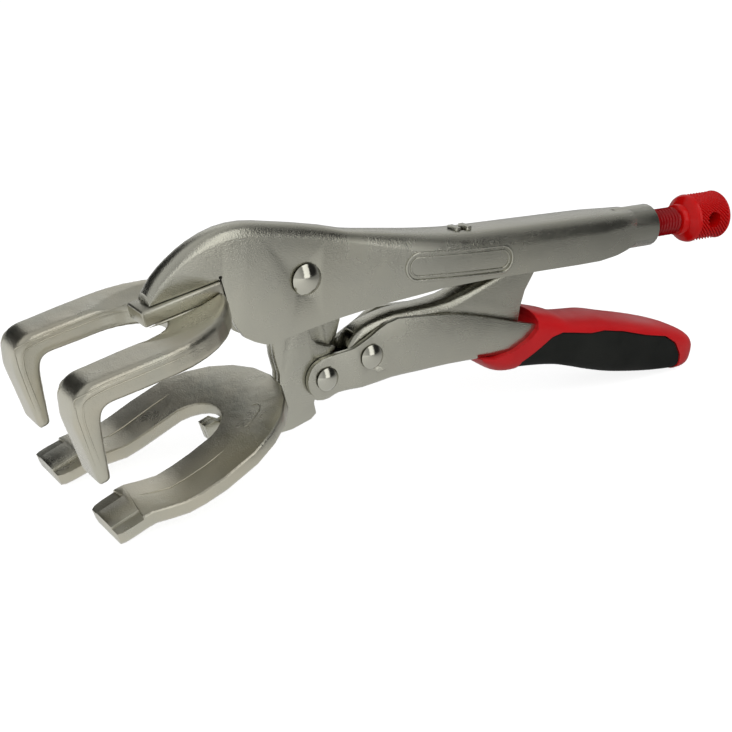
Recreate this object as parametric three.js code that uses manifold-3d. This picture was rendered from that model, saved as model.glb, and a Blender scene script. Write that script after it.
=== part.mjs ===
// Welding locking pliers with U-shaped fork jaws, in millimetres, +Z up.
// +X runs back from the jaws to the adjusting screw, and Y runs across the tool.
// The pieces are drawn about the main rivet, with X along the screw, and stood up at the end.
import * as THREE from 'three';
import { mergeVertices } from 'three/addons/utils/BufferGeometryUtils.js';
import Module from 'manifold-3d';

const wasm = await Module();
wasm.setup();

// Clearances
const seatGap = 0.3; // between pieces that touch
const holeGap = 0.3; // round a rivet's shank
const overrun = 20; // by which a cutting shape passes its work

// Linkage: main rivet, handle rivet, link rivet and the screw's axis
const pivotBack = 0.9; // the main rivet behind the tool's datum
const rivetBack = 1.1; // the handle rivet behind the handle's datum
const rivetDrop = 0.4; // and below it, which locks the toggle past its dead centre
const leverDrop = 35.8;
const leverBack = 8.6;
const toggleArm = 17.9;
const linkLength = 84.2;
const screwDrop = 1.5;
const openPivotGap = 2.4; // the link's nose stands this far off the screw
const lockLength = toggleArm + linkLength;
const handleAngle = Math.asin((leverDrop - screwDrop) / lockLength);
const noseX = leverBack + lockLength * Math.cos(handleAngle);

// Sheet of the three pressed channels
const bodySheet = 2.2;
const handleSheet = 1.8;
const linkSheet = 1.8;

// Upper channel
const noseReach = 53;
const tailReach = 151;
const crownRise = 19.8;
const rearHalf = 10;
const frontHalf = 5;
const tubeRadius = 7.8;
const tubeLength = 17;
const lobeDrop = 19.5;
const wallDrop = 8.8;

// Laminated lever of the lower jaw
const leverPlate = 2.35;
const leverHead = 13;
const leverHeel = 8.3;
const footNose = 6.6;
const footDepth = 7;
const hookHole = 1.1;
const hookBack = 9.5;
const hookDrop = 11.5;

// Rivets
const mainShank = 4;
const mainHead = 5.2;
const mainDome = 2.4;
const smallShank = 3;
const handleHead = 4;
const linkHead = 4.2;
const smallDome = 1.8;

// Upper fork and its tang bar
const upperSlope = THREE.MathUtils.degToRad(13);
const upperTop = 7.5;
const upperThick = 8.3;
const armSpacing = 46.8;
const armWidth = 15;
const upperOuter = (armSpacing + armWidth) / 2;
const forkFront = 91.2;
const forkRear = 27.5;
const crotchReach = 47.2;
const legDrop = 23.9;
const dishDepth = 2.6;
const dishSweep = 9.5;
const forkChamfer = 1.2;
const tangLength = 27.6;
const tangWidth = 11.4;
const tangThick = 5.2;

// Lower fork
const lowerSlope = THREE.MathUtils.degToRad(20.5);
const lowerTop = 28.2;
const lowerThick = 5;
const lowerFront = 93.2;
const lowerRear = 19.8;
const lowerCrotch = 41;
const lowerOuter = 34.6;
const lowerInner = 12.1;
const bowRise = 1.5;
const crispChamfer = 0.5;
const stepLength = 9.5;
const stepWidth = 4.6;
const stepDrop = 0.7;
const beadRadius = 1.2;
const beadMargin = 2;

// Lower handle and its grip
const earHalf = 4.6;
const earRadius = 7.2;
const handleHalf = 9;
const handleLength = 148;
const handleDrop = 73;
const gripStartShare = 41 / 74;
const gripDropShare = 61 / 146;
const gripFallShare = 1.227835425;
const gripEndWall = 5.639890;
const gripOffset = gripStartShare * handleLength;
const gripDrop = gripDropShare * handleDrop;
const gripAngle = Math.atan2(gripFallShare * handleDrop, handleLength);
const gripLength = (handleLength - gripOffset) / Math.cos(gripAngle) + gripEndWall;
const gripNose = 26;
const gripRise = 11;
const gripHalf = 12.5;
const gripBore = 0.3;
const inlayDepth = 2.2;

// Adjusting screw
const screwRadius = 5.2;
const screwBore = 5.6;
const screwPointLength = 7;
const knobRadius = 9.1;
const knobLength = 21.6;
const knobStand = 14.6;
const crossHole = 3;
const holeRise = 0.6;

// Extension spring
const wireRadius = 0.55;
const coilRadius = 2.9;
const coilPitch = 1.6;
const coilTurns = 22;
const coilFront = 18;
const coilFrontDrop = 8.4;
const coilRise = THREE.MathUtils.degToRad(13);
const lugBack = 61;
const lugLength = 5;
const lugThick = 2;
const lugDepth = 6;
const lugRise = 0.9;
const lugWindow = 2.5;

// Steps of the round stretches
const arcSteps = 4;
const ringSteps = 24;
const curlSteps = 8;
const wireSides = 5;

const nickel = { color: 0xa7a596, roughness: 0.32, metalness: 0.9 };
const forged = { color: 0x8b8878, roughness: 0.42, metalness: 0.9 };
const polished = { color: 0xc4c3ba, roughness: 0.18, metalness: 1 };
const springSteel = { color: 0x6d6c66, roughness: 0.3, metalness: 1 };
const redPaint = { color: 0xc4161c, roughness: 0.45, metalness: 0 };
const redGrip = { color: 0xd01a22, roughness: 0.55, metalness: 0 };
const blackGrip = { color: 0x1c1e1a, roughness: 0.8, metalness: 0 };

// Closed geometry as a solid that can be joined and cut
function solid(geometry) {
  const bare = geometry.clone();
  bare.deleteAttribute('normal');
  bare.deleteAttribute('uv');
  const whole = mergeVertices(bare);
  const place = whole.attributes.position;
  const corners = [];
  let volume = 0;
  const a = new THREE.Vector3();
  const b = new THREE.Vector3();
  const c = new THREE.Vector3();
  for (let i = 0; i < whole.index.count; i += 3) {
    const face = [0, 1, 2].map((k) => whole.index.getX(i + k));
    if (new Set(face).size === face.length) {
      corners.push(...face);
      a.fromBufferAttribute(place, face[0]);
      b.fromBufferAttribute(place, face[1]);
      c.fromBufferAttribute(place, face[2]);
      volume += a.dot(b.cross(c));
    }
  }
  if (volume < 0) {
    corners.reverse();
  }
  return new wasm.Manifold(new wasm.Mesh({
    numProp: 3,
    vertProperties: new Float32Array(place.array),
    triVerts: new Uint32Array(corners),
  }));
}

function mesh(name, form, finish) {
  const { vertProperties, triVerts } = form.getMesh();
  const geometry = new THREE.BufferGeometry();
  geometry.setAttribute('position', new THREE.BufferAttribute(vertProperties, 3));
  geometry.setIndex(new THREE.BufferAttribute(triVerts, 1));
  geometry.computeVertexNormals();
  const piece = new THREE.Mesh(geometry, new THREE.MeshStandardMaterial(finish));
  piece.name = name;
  return piece;
}

// A side view, points (x, z), drawn across Y from one side to the other
function sideways(shape, width, middle = 0, segments = arcSteps) {
  const options = { depth: width, bevelEnabled: false, curveSegments: segments };
  const geometry = new THREE.ExtrudeGeometry(shape, options);
  geometry.translate(0, 0, -middle - width / 2);
  geometry.rotateX(Math.PI / 2);
  return geometry;
}

// A plan, points (x, y), drawn up from a height
function upright(shape, height, base = 0, segments = arcSteps) {
  const options = { depth: height, bevelEnabled: false, curveSegments: segments };
  return new THREE.ExtrudeGeometry(shape, options).translate(0, 0, base);
}

// The same drawings with chamfered edges all round
function chamfered(chamfer, segments = arcSteps) {
  return {
    bevelEnabled: true, bevelSegments: 1, bevelSize: chamfer, bevelThickness: chamfer,
    bevelOffset: -chamfer, curveSegments: segments,
  };
}

function uprightBevelled(shape, height, base, chamfer) {
  const options = { ...chamfered(chamfer, 2 * arcSteps), depth: height - 2 * chamfer };
  return new THREE.ExtrudeGeometry(shape, options).translate(0, 0, base + chamfer);
}

function sidewaysBevelled(shape, width, middle, chamfer) {
  const options = { ...chamfered(chamfer), depth: width - 2 * chamfer };
  const geometry = new THREE.ExtrudeGeometry(shape, options);
  geometry.translate(0, 0, chamfer - middle - width / 2);
  return geometry.rotateX(Math.PI / 2);
}

function block(x0, x1, y0, y1, z0, z1) {
  const box = new THREE.BoxGeometry(x1 - x0, y1 - y0, z1 - z0);
  return box.translate((x0 + x1) / 2, (y0 + y1) / 2, (z0 + z1) / 2);
}

function crossPin(radius, length, x = 0, z = 0, middle = 0) {
  const pin = new THREE.CylinderGeometry(radius, radius, length, ringSteps);
  return pin.translate(x, middle, z);
}

function scaled(shares, across, up) {
  return shares.map(([x, z]) => new THREE.Vector2(x * across, z * up));
}

function closed(points) {
  return new THREE.Shape(points);
}

// Smooth curve through rows whose first value grows, read at any x
function following(rows) {
  const size = rows[0].length - 1;
  const places = new Float32Array(rows.map((row) => row[0]));
  const values = new Float32Array(rows.flatMap((row) => row.slice(1)));
  const curve = new THREE.CubicInterpolant(places, values, size, new Float32Array(size));
  return (x) => Array.from(curve.evaluate(x));
}

// Stations two to a row, so that close rows give close stations
function stations(rows) {
  const xs = [];
  for (let i = 0; i < rows.length - 1; i += 1) {
    xs.push(rows[i][0], (rows[i][0] + rows[i + 1][0]) / 2);
  }
  xs.push(rows[rows.length - 1][0]);
  return xs;
}

// Every corner of a box of thin cells is moved to where a formula puts it.
function formed(across, deep, along, place) {
  const box = new THREE.BoxGeometry(1, 1, 1, across, deep, along);
  const position = box.attributes.position;
  for (let i = 0; i < position.count; i += 1) {
    const u = Math.round((position.getX(i) + 0.5) * across);
    const v = Math.round((position.getY(i) + 0.5) * deep);
    const w = Math.round((position.getZ(i) + 0.5) * along);
    const point = place(u, v, w);
    position.setXYZ(i, point.x, point.y, point.z);
  }
  return box;
}

// Sheet folded into a channel along X: rows are [x, half width, spine height, corner radius],
// and side is 1 where the spine is on top, -1 where it is below.
function channel(rows, sheet, depth, side) {
  const read = following(rows);
  const xs = stations(rows);
  const last = 2 * arcSteps + 3;
  const fold = (step, layer, w) => {
    const [half, spine, corner] = read(xs[w]);
    const inset = layer * sheet;
    const point = new THREE.Vector3(xs[w], 0, spine - side * depth);
    const flank = step <= arcSteps + 1 ? -1 : 1;
    const turn = flank < 0 ? step - 1 : last - 1 - step;
    if (turn < 0) {
      point.y = flank * (half - inset);
      return point;
    }
    const angle = (turn / arcSteps) * (Math.PI / 2);
    const reach = Math.max(corner - inset, 0);
    const round = Math.max(corner, inset);
    point.y = flank * (half - round + reach * Math.cos(angle));
    point.z = spine - side * (round - reach * Math.sin(angle));
    return point;
  };
  return solid(formed(last, 1, xs.length - 1, fold));
}

// Rivet across Y with a domed head at each end, seated on walls of the given half width
function rivet(name, shank, head, dome, half, x = 0, z = 0) {
  const seat = half + seatGap;
  const domeShares = [[0.55, 0.9], [0.85, 0.68], [1, 0.42]];
  const end = domeShares.map(([r, h]) => new THREE.Vector2(r * head, seat + h * dome));
  const upper = [
    new THREE.Vector2(shank, seat), new THREE.Vector2(head, seat),
    ...end.reverse(), new THREE.Vector2(0, seat + dome),
  ];
  const lower = upper.map((p) => new THREE.Vector2(p.x, -p.y)).reverse();
  const lathe = new THREE.LatheGeometry([...lower, ...upper], ringSteps);
  return mesh(name, solid(lathe.translate(x, 0, z)), polished);
}

// Upper channel: rows ahead of the main rivet are shares of its nose, rows behind of its tail
const noseRowShares = [
  [-1, 0.39, 0.086], [-0.945, 0.4, 0.315], [-0.843, 0.43, 0.575], [-0.72, 0.45, 0.797],
  [-0.547, 0.48, 0.977], [-0.377, 0.5, 1.02], [-0.2, 0.5, 0.96],
];
const tailRowShares = [
  [0.051, 0.5, 0.795], [0.113, 0.555, 0.668], [0.189, 0.68, 0.584], [0.292, 0.88, 0.477],
  [0.397, 0.98, 0.398], [0.497, 1, 0.37], [0.663, 1, 0.35], [0.815, 0.97, 0.333],
  [0.881, 0.85, 0.31], [0.927, 0.73, 0.3],
];
const bodyRow = (reach, wide) => ([x, half, top]) => [
  x * reach,
  half <= 0.5 ? half * 2 * frontHalf : half * wide,
  top * crownRise,
  half <= 0.5 ? half * 2 * frontHalf * 0.8 : half * wide * 0.62,
];
const bodyRows = [
  ...noseRowShares.map(bodyRow(noseReach, rearHalf)),
  ...tailRowShares.map(bodyRow(tailReach, rearHalf)),
];
const frontEdgeShares = [
  [-0.553, 0.23], [-0.52, -0.082], [-0.487, -0.415], [-0.455, -0.62], [-0.396, -0.83],
];
const lobeShares = [[-0.33, -0.93], [-0.265, -1], [-0.19, -1.02], [-0.08, -0.945]];
const lowerEdgeShares = [
  [0.0735, -1.76], [0.212, -1.35], [0.344, -1.05], [0.462, -0.98], [0.637, -1.02],
  [0.8, -1.03], [0.861, -0.94], [0.89, -0.84], [0.93, -0.66],
];

function upperChannel() {
  const blank = channel(bodyRows, bodySheet, crownRise + lobeDrop + overrun, 1);
  const side = closed([
    new THREE.Vector2(tailReach + overrun, lobeDrop + overrun),
    new THREE.Vector2(-noseReach - overrun, lobeDrop + overrun),
    new THREE.Vector2(-noseReach - overrun, -lobeDrop - overrun),
    ...scaled(frontEdgeShares, noseReach, lobeDrop),
    ...scaled(lobeShares, noseReach, lobeDrop),
    ...scaled(lowerEdgeShares, tailReach, wallDrop),
    new THREE.Vector2(tailReach + overrun, -wallDrop / 2),
  ]);
  const ahead = sideways(closed([
    new THREE.Vector2(-noseReach - overrun, -lobeDrop - overrun),
    ...scaled([frontEdgeShares[0]], noseReach, lobeDrop),
    new THREE.Vector2(-noseReach - overrun, crownRise + overrun),
  ]), 2 * rearHalf + overrun);
  const tang = solid(block(
    -noseReach - overrun, -tangRear() + seatGap, -rearHalf, rearHalf,
    -lobeDrop - overrun, tangTop() + seatGap,
  ).rotateY(-upperSlope));
  const kept = blank.intersect(solid(sideways(side, 2 * rearHalf + overrun)));
  const tube = new THREE.CylinderGeometry(tubeRadius, tubeRadius, tubeLength, ringSteps);
  tube.rotateZ(Math.PI / 2).translate(tailReach - tubeLength / 2, 0, -screwDrop);
  const bore = new THREE.CylinderGeometry(screwBore, screwBore, tailReach, ringSteps);
  bore.rotateZ(Math.PI / 2).translate(tailReach, 0, -screwDrop);
  const lugTop = following(bodyRows)(lugBack)[1];
  const lug = block(
    lugBack, lugBack + lugThick, -lugLength / 2, lugLength / 2, lugTop - lugDepth, lugTop + lugRise,
  );
  const windowBack = lugBack + lugThick + lugWindow;
  const window = block(
    lugBack + lugThick, windowBack, -lugLength / 2, lugLength / 2, lugTop - lugDepth, lugTop + overrun,
  );
  const lip = block(
    windowBack, windowBack + lugThick, -lugLength / 2, lugLength / 2,
    lugTop - bodySheet, lugTop + lugRise,
  );
  const eye = new THREE.CylinderGeometry(hookHole, hookHole, overrun, ringSteps / 2);
  eye.rotateZ(Math.PI / 2).translate(lugBack, 0, lugTop - lugDepth + hookHole + lugThick / 2);
  const form = kept.subtract(tang)
    .add(solid(tube))
    .subtract(solid(window))
    .add(solid(lug))
    .add(solid(lip))
    .subtract(solid(eye))
    .subtract(solid(bore))
    .subtract(solid(crossPin(mainShank + holeGap, 2 * rearHalf + overrun, pivotBack)));
  return mesh('upper_channel', form, nickel);
}

// Places in the upper fork's own tilted frame
function tangTop() {
  return upperTop - dishDepth + seatGap + tangThick;
}

function tangRear() {
  return forkRear + seatGap;
}

function tangBar() {
  const low = upperTop - dishDepth + seatGap;
  const form = solid(block(
    -tangRear() - tangLength, -tangRear(), -tangWidth / 2, tangWidth / 2, low, low + tangThick,
  ));
  return mesh('tang_bar', form, nickel);
}

const legFrontShares = [
  [0.83, 1], [0.925, 1], [0.955, 0.86], [0.977, 0.6], [0.992, 0.2], [1, -0.5],
];
const legDropShares = [[0.996, 0.3], [0.974, 1]];
const legRearShares = [[0.934, 0.975], [0.912, 0.19], [0.9, 0.075], [0.875, 0.035]];

const dishPlaceShare = 0.72;
const dishLengthShare = 0.7;
const dishWidthShare = 0.72;

function upperFork() {
  const plan = new THREE.Shape();
  const straight = forkRear + upperOuter;
  const inner = (armSpacing - armWidth) / 2;
  const root = crotchReach + inner;
  const front = forkFront - armWidth / 2;
  plan.moveTo(-front, -upperOuter);
  plan.lineTo(-straight, -upperOuter);
  plan.absarc(-straight, 0, upperOuter, -Math.PI / 2, Math.PI / 2, false);
  plan.lineTo(-front, upperOuter);
  plan.lineTo(-front, inner);
  plan.lineTo(-root, inner);
  plan.absarc(-root, 0, inner, Math.PI / 2, -Math.PI / 2, true);
  plan.lineTo(-front, -inner);
  const low = upperTop - upperThick;
  let form = solid(uprightBevelled(plan, upperThick, low, forkChamfer));
  const legSide = closed([
    new THREE.Vector2(-forkFront * legRearShares[3][0] + armWidth / 2, low),
    new THREE.Vector2(-forkFront * legFrontShares[0][0], upperTop),
    ...scaled(legFrontShares.slice(1), -forkFront, upperTop),
    ...scaled(legDropShares, -forkFront, -legDrop),
    ...scaled(legRearShares, -forkFront, -legDrop),
  ]);
  for (const flank of [-1, 1]) {
    const middle = flank * (armSpacing / 2);
    form = form.add(solid(sidewaysBevelled(legSide, armWidth, middle, forkChamfer)));
  }
  const dish = new THREE.SphereGeometry(1, 2 * ringSteps, ringSteps);
  const brim = Math.sqrt(1 - (1 - dishDepth / dishSweep) ** 2);
  dish.rotateX(Math.PI / 2).scale(
    dishLengthShare * upperOuter / brim, dishWidthShare * upperOuter / brim, dishSweep,
  );
  dish.translate(-forkRear - dishPlaceShare * upperOuter, 0, upperTop + dishSweep - dishDepth);
  form = form.subtract(solid(dish));
  const slot = block(
    -tangRear() - tangLength - seatGap, overrun - tangRear(), -tangWidth / 2 - seatGap,
    tangWidth / 2 + seatGap, upperTop - dishDepth, upperTop + overrun,
  );
  return mesh('upper_fork', form.subtract(solid(slot)), forged);
}

// Lower fork, in its own tilted frame: a bowed plate whose prongs rise again at their tips.
// Shares of its length, of the bow and of each edge's half width, from the tips to the arcs
const bowShares = [[-1, 0.9], [-0.955, 1], [-0.9, 1.1], [-0.87, 0.95], [-0.82, 0], [-0.76, -0.95],
  [-0.7, -0.9], [-0.61, -0.4], [-0.52, 0.3], [-0.42, 0.8], [-0.33, 0.95], [-0.2, 1]];
const prongOuterShares = [
  [1, 0.935], [0.985, 0.955], [0.955, 0.96], [0.9, 0.955], [0.87, 0.95], [0.82, 0.955], [0.76, 0.962],
  [0.7, 0.98], [0.62, 0.995],
];
const prongInnerShares = [
  [1, 1.13], [0.985, 1.03], [0.955, 0.98], [0.9, 0.95], [0.87, 0.95], [0.82, 0.98], [0.76, 1],
  [0.7, 1], [0.63, 1],
];
const stepShares = [[-0.12, -1], [1, -1], [0.85, 1], [-0.12, 1]];

function lowerHeight(x) {
  const bow = following(bowShares);
  return bowRise * bow(x / lowerFront)[0] - lowerTop;
}

// Edge of the fork from one prong's tip round to the other's
function forkEdge(shares, half, centre) {
  const prong = scaled(shares, -lowerFront, half);
  const turns = 3 * arcSteps;
  const round = Array.from({ length: turns - 1 }, (_, i) => {
    const angle = ((i + 1) / turns) * Math.PI;
    return new THREE.Vector2(half * Math.sin(angle) - centre, half * Math.cos(angle));
  });
  return [...prong, ...round, ...prong.map((p) => new THREE.Vector2(p.x, -p.y)).reverse()];
}

function lowerFork() {
  const outer = forkEdge(prongOuterShares, lowerOuter, lowerRear + lowerOuter);
  const inner = forkEdge(prongInnerShares, lowerInner, lowerCrotch + lowerInner);
  const layers = [
    [0, crispChamfer], [crispChamfer, 0], [lowerThick - forkChamfer, 0], [lowerThick, forkChamfer],
  ];
  const place = (u, v, w) => {
    const [depth, inset] = layers[v];
    const near = u ? outer[w] : inner[w];
    const across = outer[w].clone().sub(inner[w]).normalize().multiplyScalar(inset);
    const point = u ? near.clone().sub(across) : near.clone().add(across);
    return new THREE.Vector3(point.x, point.y, lowerHeight(near.x) - depth);
  };
  let form = solid(formed(1, layers.length - 1, outer.length - 1, place));
  const padOuter = lowerOuter * prongOuterShares[0][1];
  const padInner = lowerInner * prongInnerShares[0][1];
  for (const flank of [-1, 1]) {
    for (const edge of [padOuter, padInner]) {
      const side = edge === padOuter ? 1 : -1;
      const step = closed(scaled(stepShares, stepLength, flank * side * stepWidth));
      const cut = upright(step, overrun, lowerHeight(-lowerFront) - stepDrop);
      form = form.subtract(solid(cut.translate(-lowerFront, flank * (edge + side * stepDrop), 0)));
    }
  }
  return mesh('lower_fork', form, forged);
}

// Weld beads in the corners between the lever's foot and the fork's underside
function weldBead(name, flank) {
  const length = lowerCrotch - lowerRear - 2 * beadMargin;
  const bead = new THREE.CapsuleGeometry(beadRadius, length - 2 * beadRadius, 2, 2 * arcSteps);
  bead.rotateZ(Math.PI / 2).translate(
    -(lowerCrotch + lowerRear) / 2,
    flank * (seatGap / 2 + leverPlate + seatGap + beadRadius),
    lowerHeight(-lowerCrotch) - lowerThick - seatGap - beadRadius,
  );
  return mesh(name, solid(bead), forged);
}

// Lever plates: a disc on the main rivet, a heel on the handle rivet and a foot under the fork
function leverPoint(x, z) {
  return new THREE.Vector2(
    x * Math.cos(lowerSlope) - z * Math.sin(lowerSlope),
    x * Math.sin(lowerSlope) + z * Math.cos(lowerSlope),
  );
}

const leverFrontShares = [[-0.8, 0], [-0.77, -1.15], [-0.735, -1.64], [-0.68, -2], [-0.55, -2.45]];
const leverRearShares = [
  [-1, -1.475], [-0.24, -1.458], [0.59, -1.397], [0.83, -1.346], [0.72, -1.237], [1, -1],
  [1.5, -0.78], [1.82, -0.65], [1.98, -0.5], [2, -0.4],
];

function lever(name, flank, notched) {
  const heel = new THREE.Vector3(rivetBack, 0, -rivetDrop)
    .applyAxisAngle(new THREE.Vector3(0, -1, 0), handleAngle)
    .add(new THREE.Vector3(leverBack, 0, -leverDrop));
  const under = lowerHeight(-lowerCrotch) - lowerThick - seatGap;
  const side = closed([
    ...scaled(leverFrontShares, leverHead, leverHead),
    leverPoint(-lowerRear + seatGap, under),
    leverPoint(-lowerCrotch - seatGap, under),
    leverPoint(-lowerCrotch - seatGap - lowerThick / 2, under + lowerThick / 2),
    leverPoint(-lowerCrotch - footNose, under + lowerThick / 2),
    leverPoint(-lowerCrotch - footNose, under - footDepth * 0.5),
    leverPoint(-lowerCrotch, under - footDepth),
    ...scaled(leverRearShares, leverBack, leverDrop),
    new THREE.Vector2(leverHead * 0.95, 0),
  ]);
  const middle = flank * (seatGap + leverPlate) / 2;
  let form = solid(sideways(side, leverPlate, middle))
    .add(solid(crossPin(leverHead, leverPlate, pivotBack, 0, middle)))
    .add(solid(crossPin(leverHeel, leverPlate, heel.x, heel.z, middle)))
    .subtract(solid(crossPin(mainShank + holeGap, overrun, pivotBack)))
    .subtract(solid(crossPin(smallShank + holeGap, overrun, heel.x, heel.z)));
  if (notched) {
    const notch = closed(scaled([
      [2.2, -0.755], [1.15, -0.695], [0.8, -0.66], [0.57, -0.6], [0.44, -0.52], [0.5, -0.36],
      [0.66, -0.25], [1.2, -0.15], [2.2, -0.15],
    ], leverBack, leverDrop));
    form = form.subtract(solid(sideways(notch, overrun)));
  } else {
    form = form.subtract(solid(crossPin(hookHole, overrun, hookBack, -hookDrop)));
  }
  return mesh(name, form, nickel);
}

// Lower handle, drawn from the handle rivet with X towards the link's nose
const handleRowShares = [
  [-0.055, 0, 0.1, 0.14], [0.027, 0, 0.11, 0.2], [0.055, 0.22, 0.125, 0.28],
  [0.081, 0.53, 0.138, 0.32], [0.16, 0.56, 0.174, 0.36], [0.23, 0.82, 0.214, 0.38],
  [0.304, 1, 0.259, 0.4], [0.405, 1, 0.34, 0.42], [0.486, 0.94, 0.414, 0.44],
  [0.554, 0.82, 0.477, 0.45], [0.676, 0.66, 0.61, 0.45], [0.81, 0.6, 0.77, 0.45],
  [0.946, 0.56, 0.935, 0.45], [1, 0.55, 1, 0.45],
];
const handleRows = handleRowShares.map(([x, half, drop, corner]) => [
  x * handleLength,
  earHalf + half * (handleHalf - earHalf),
  -drop * handleDrop,
  corner * handleHalf,
]);
const handleTopShares = [
  [0.04, 0.087], [0.09, 0.081], [0.137, 0.095], [0.18, 0.112], [0.21, 0.108], [0.24, 0.084],
  [0.293, 0.038], [0.345, -0.012], [0.396, -0.078], [0.448, -0.152], [0.5, -0.229],
  [0.547, -0.292], [0.676, -0.452], [0.81, -0.637], [0.946, -0.822], [1, -0.9],
];
const linkHalfAtRivet = handleRows[4][1];

function lowerHandle() {
  const blank = channel(handleRows, handleSheet, handleDrop, -1);
  const side = closed([
    new THREE.Vector2(-earRadius - overrun, -handleDrop - overrun),
    new THREE.Vector2(-earRadius - overrun, earRadius),
    new THREE.Vector2(0, earRadius),
    ...scaled(handleTopShares, handleLength, handleDrop),
    new THREE.Vector2(handleLength + overrun, -handleDrop),
    new THREE.Vector2(handleLength + overrun, -handleDrop - overrun),
  ]);
  const ear = new THREE.Shape();
  ear.moveTo(-earRadius - overrun, -handleDrop);
  ear.lineTo(rivetBack, -earRadius - handleSheet - overrun);
  ear.lineTo(rivetBack, -earRadius - rivetDrop);
  ear.absarc(rivetBack, -rivetDrop, earRadius, -Math.PI / 2, Math.PI / 2, true);
  ear.lineTo(rivetBack, overrun);
  ear.lineTo(-earRadius - overrun, overrun);
  const mouth = block(
    -earRadius - overrun, earRadius * 0.92, -earHalf + handleSheet, earHalf - handleSheet,
    -handleDrop, handleDrop,
  );
  const rivetHole = crossPin(smallShank + holeGap, 2 * handleHalf + overrun);
  const form = blank.intersect(solid(sideways(side, 2 * handleHalf + overrun)))
    .subtract(solid(sideways(ear, 2 * handleHalf + overrun, 0, 2 * arcSteps)))
    .subtract(solid(mouth))
    .subtract(solid(rivetHole.clone().translate(rivetBack, 0, -rivetDrop)))
    .subtract(solid(rivetHole.clone().translate(toggleArm, 0, 0)));
  return mesh('lower_handle', form, nickel);
}

// Toggle link, drawn from the link rivet with X towards its nose
const linkRowShares = [
  [-0.07, 0, 0.072, 0.3], [-0.02, 0, 0.106, 0.35], [0.04, 0.05, 0.115, 0.4],
  [0.165, 0.3, 0.102, 0.5], [0.26, 0.7, 0.074, 0.55], [0.415, 1, 0.032, 0.55],
  [0.6, 1, 0.026, 0.5], [0.83, 1, 0.034, 0.5], [0.96, 0.85, 0.034, 0.45], [1, 0.7, 0.026, 0.4],
];
const linkFrontHalf = 4.6;
const linkRearHalf = 6.1;
const linkEye = 6;
const linkRows = linkRowShares.map(([x, half, top, corner]) => [
  x * linkLength,
  linkFrontHalf + half * (linkRearHalf - linkFrontHalf),
  top * linkLength,
  corner * linkRearHalf,
]);
const linkEdgeShares = [
  [0, -0.072], [0.17, -0.095], [0.33, -0.12], [0.475, -0.165], [0.594, -0.23],
  [0.677, -0.255], [0.7, -0.236], [0.73, -0.171], [0.775, -0.108], [0.837, -0.056],
  [0.9, -0.038], [0.97, -0.036], [1, -0.015],
];

function toggleLink() {
  const blank = channel(linkRows, linkSheet, linkLength, 1);
  const side = closed([
    new THREE.Vector2(-linkEye, 0),
    new THREE.Vector2(-linkEye * 0.7, -linkEye * 0.7),
    ...scaled(linkEdgeShares, linkLength, linkLength),
    new THREE.Vector2(linkLength, linkEye / 3),
    new THREE.Vector2(linkLength - linkSheet, overrun),
    new THREE.Vector2(-linkEye, overrun),
  ]);
  const mouth = block(
    -linkEye - overrun, -linkEye * 0.25, -linkFrontHalf + linkSheet, linkFrontHalf - linkSheet,
    -overrun, overrun,
  );
  const form = blank.intersect(solid(sideways(side, 2 * linkRearHalf + overrun)))
    .subtract(solid(mouth))
    .subtract(solid(crossPin(smallShank + holeGap, 2 * linkRearHalf + overrun)));
  return mesh('toggle_link', form, nickel);
}

// Grip, drawn in its own frame: rows are [x, top, bottom, half width] as shares
const gripRowShares = [
  [-0.31, -0.5, -0.62, 0.8], [-0.285, -0.35, -0.79, 0.82], [-0.24, 0, -0.94, 0.84],
  [-0.19, 0.4, -1.05, 0.84], [-0.13, 0.8, -1.06, 0.84], [-0.06, 1.02, -0.96, 0.84],
  [0.02, 1.01, -0.89, 0.84], [0.09, 0.96, -0.84, 0.86], [0.16, 0.88, -0.82, 0.9],
  [0.25, 0.93, -0.87, 0.95], [0.35, 1, -0.94, 1], [0.47, 0.96, -0.98, 1.02],
  [0.62, 0.92, -0.95, 1], [0.76, 0.84, -0.88, 0.95], [0.88, 0.7, -0.78, 0.85],
  [0.95, 0.5, -0.66, 0.68], [0.99, 0.18, -0.47, 0.44], [1, -0.04, -0.26, 0.2],
];
const gripRound = 16;

function gripForm(inset) {
  const rows = gripRowShares.map(([x, top, bottom, half]) => [
    Math.min(x * gripLength, gripLength - inset),
    top * gripRise - inset,
    bottom * gripRise + inset,
    half * gripHalf - inset,
  ]);
  const corner = 0.62;
  const place = (u, v, w) => {
    const [x, top, bottom, half] = rows[w];
    const point = new THREE.Vector3(x, 0, (top + bottom) / 2);
    if (v < 0) {
      return point;
    }
    const angle = (u / gripRound) * 2 * Math.PI;
    const c = Math.cos(angle);
    const s = Math.sin(angle);
    point.y = half * Math.sign(c) * Math.abs(c) ** corner;
    point.z += ((top - bottom) / 2) * Math.sign(s) * Math.abs(s) ** corner;
    return point;
  };
  return lofted(gripRound, rows.length, place);
}

// Cylinder of rings whose corners a formula places, with its end caps drawn to their middles
function lofted(round, rings, place) {
  const tube = new THREE.CylinderGeometry(1, 1, 1, round, rings - 1);
  const position = tube.attributes.position;
  for (let i = 0; i < position.count; i += 1) {
    const x = position.getX(i);
    const z = position.getZ(i);
    const w = Math.round((position.getY(i) + 0.5) * (rings - 1));
    const turn = (Math.atan2(z, x) / (2 * Math.PI) + 1) % 1;
    const onRim = Math.hypot(x, z) > 0.5;
    const point = place(Math.round(turn * round) % round, onRim ? 0 : -1, w);
    position.setXYZ(i, point.x, point.y, point.z);
  }
  return solid(tube);
}

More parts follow.
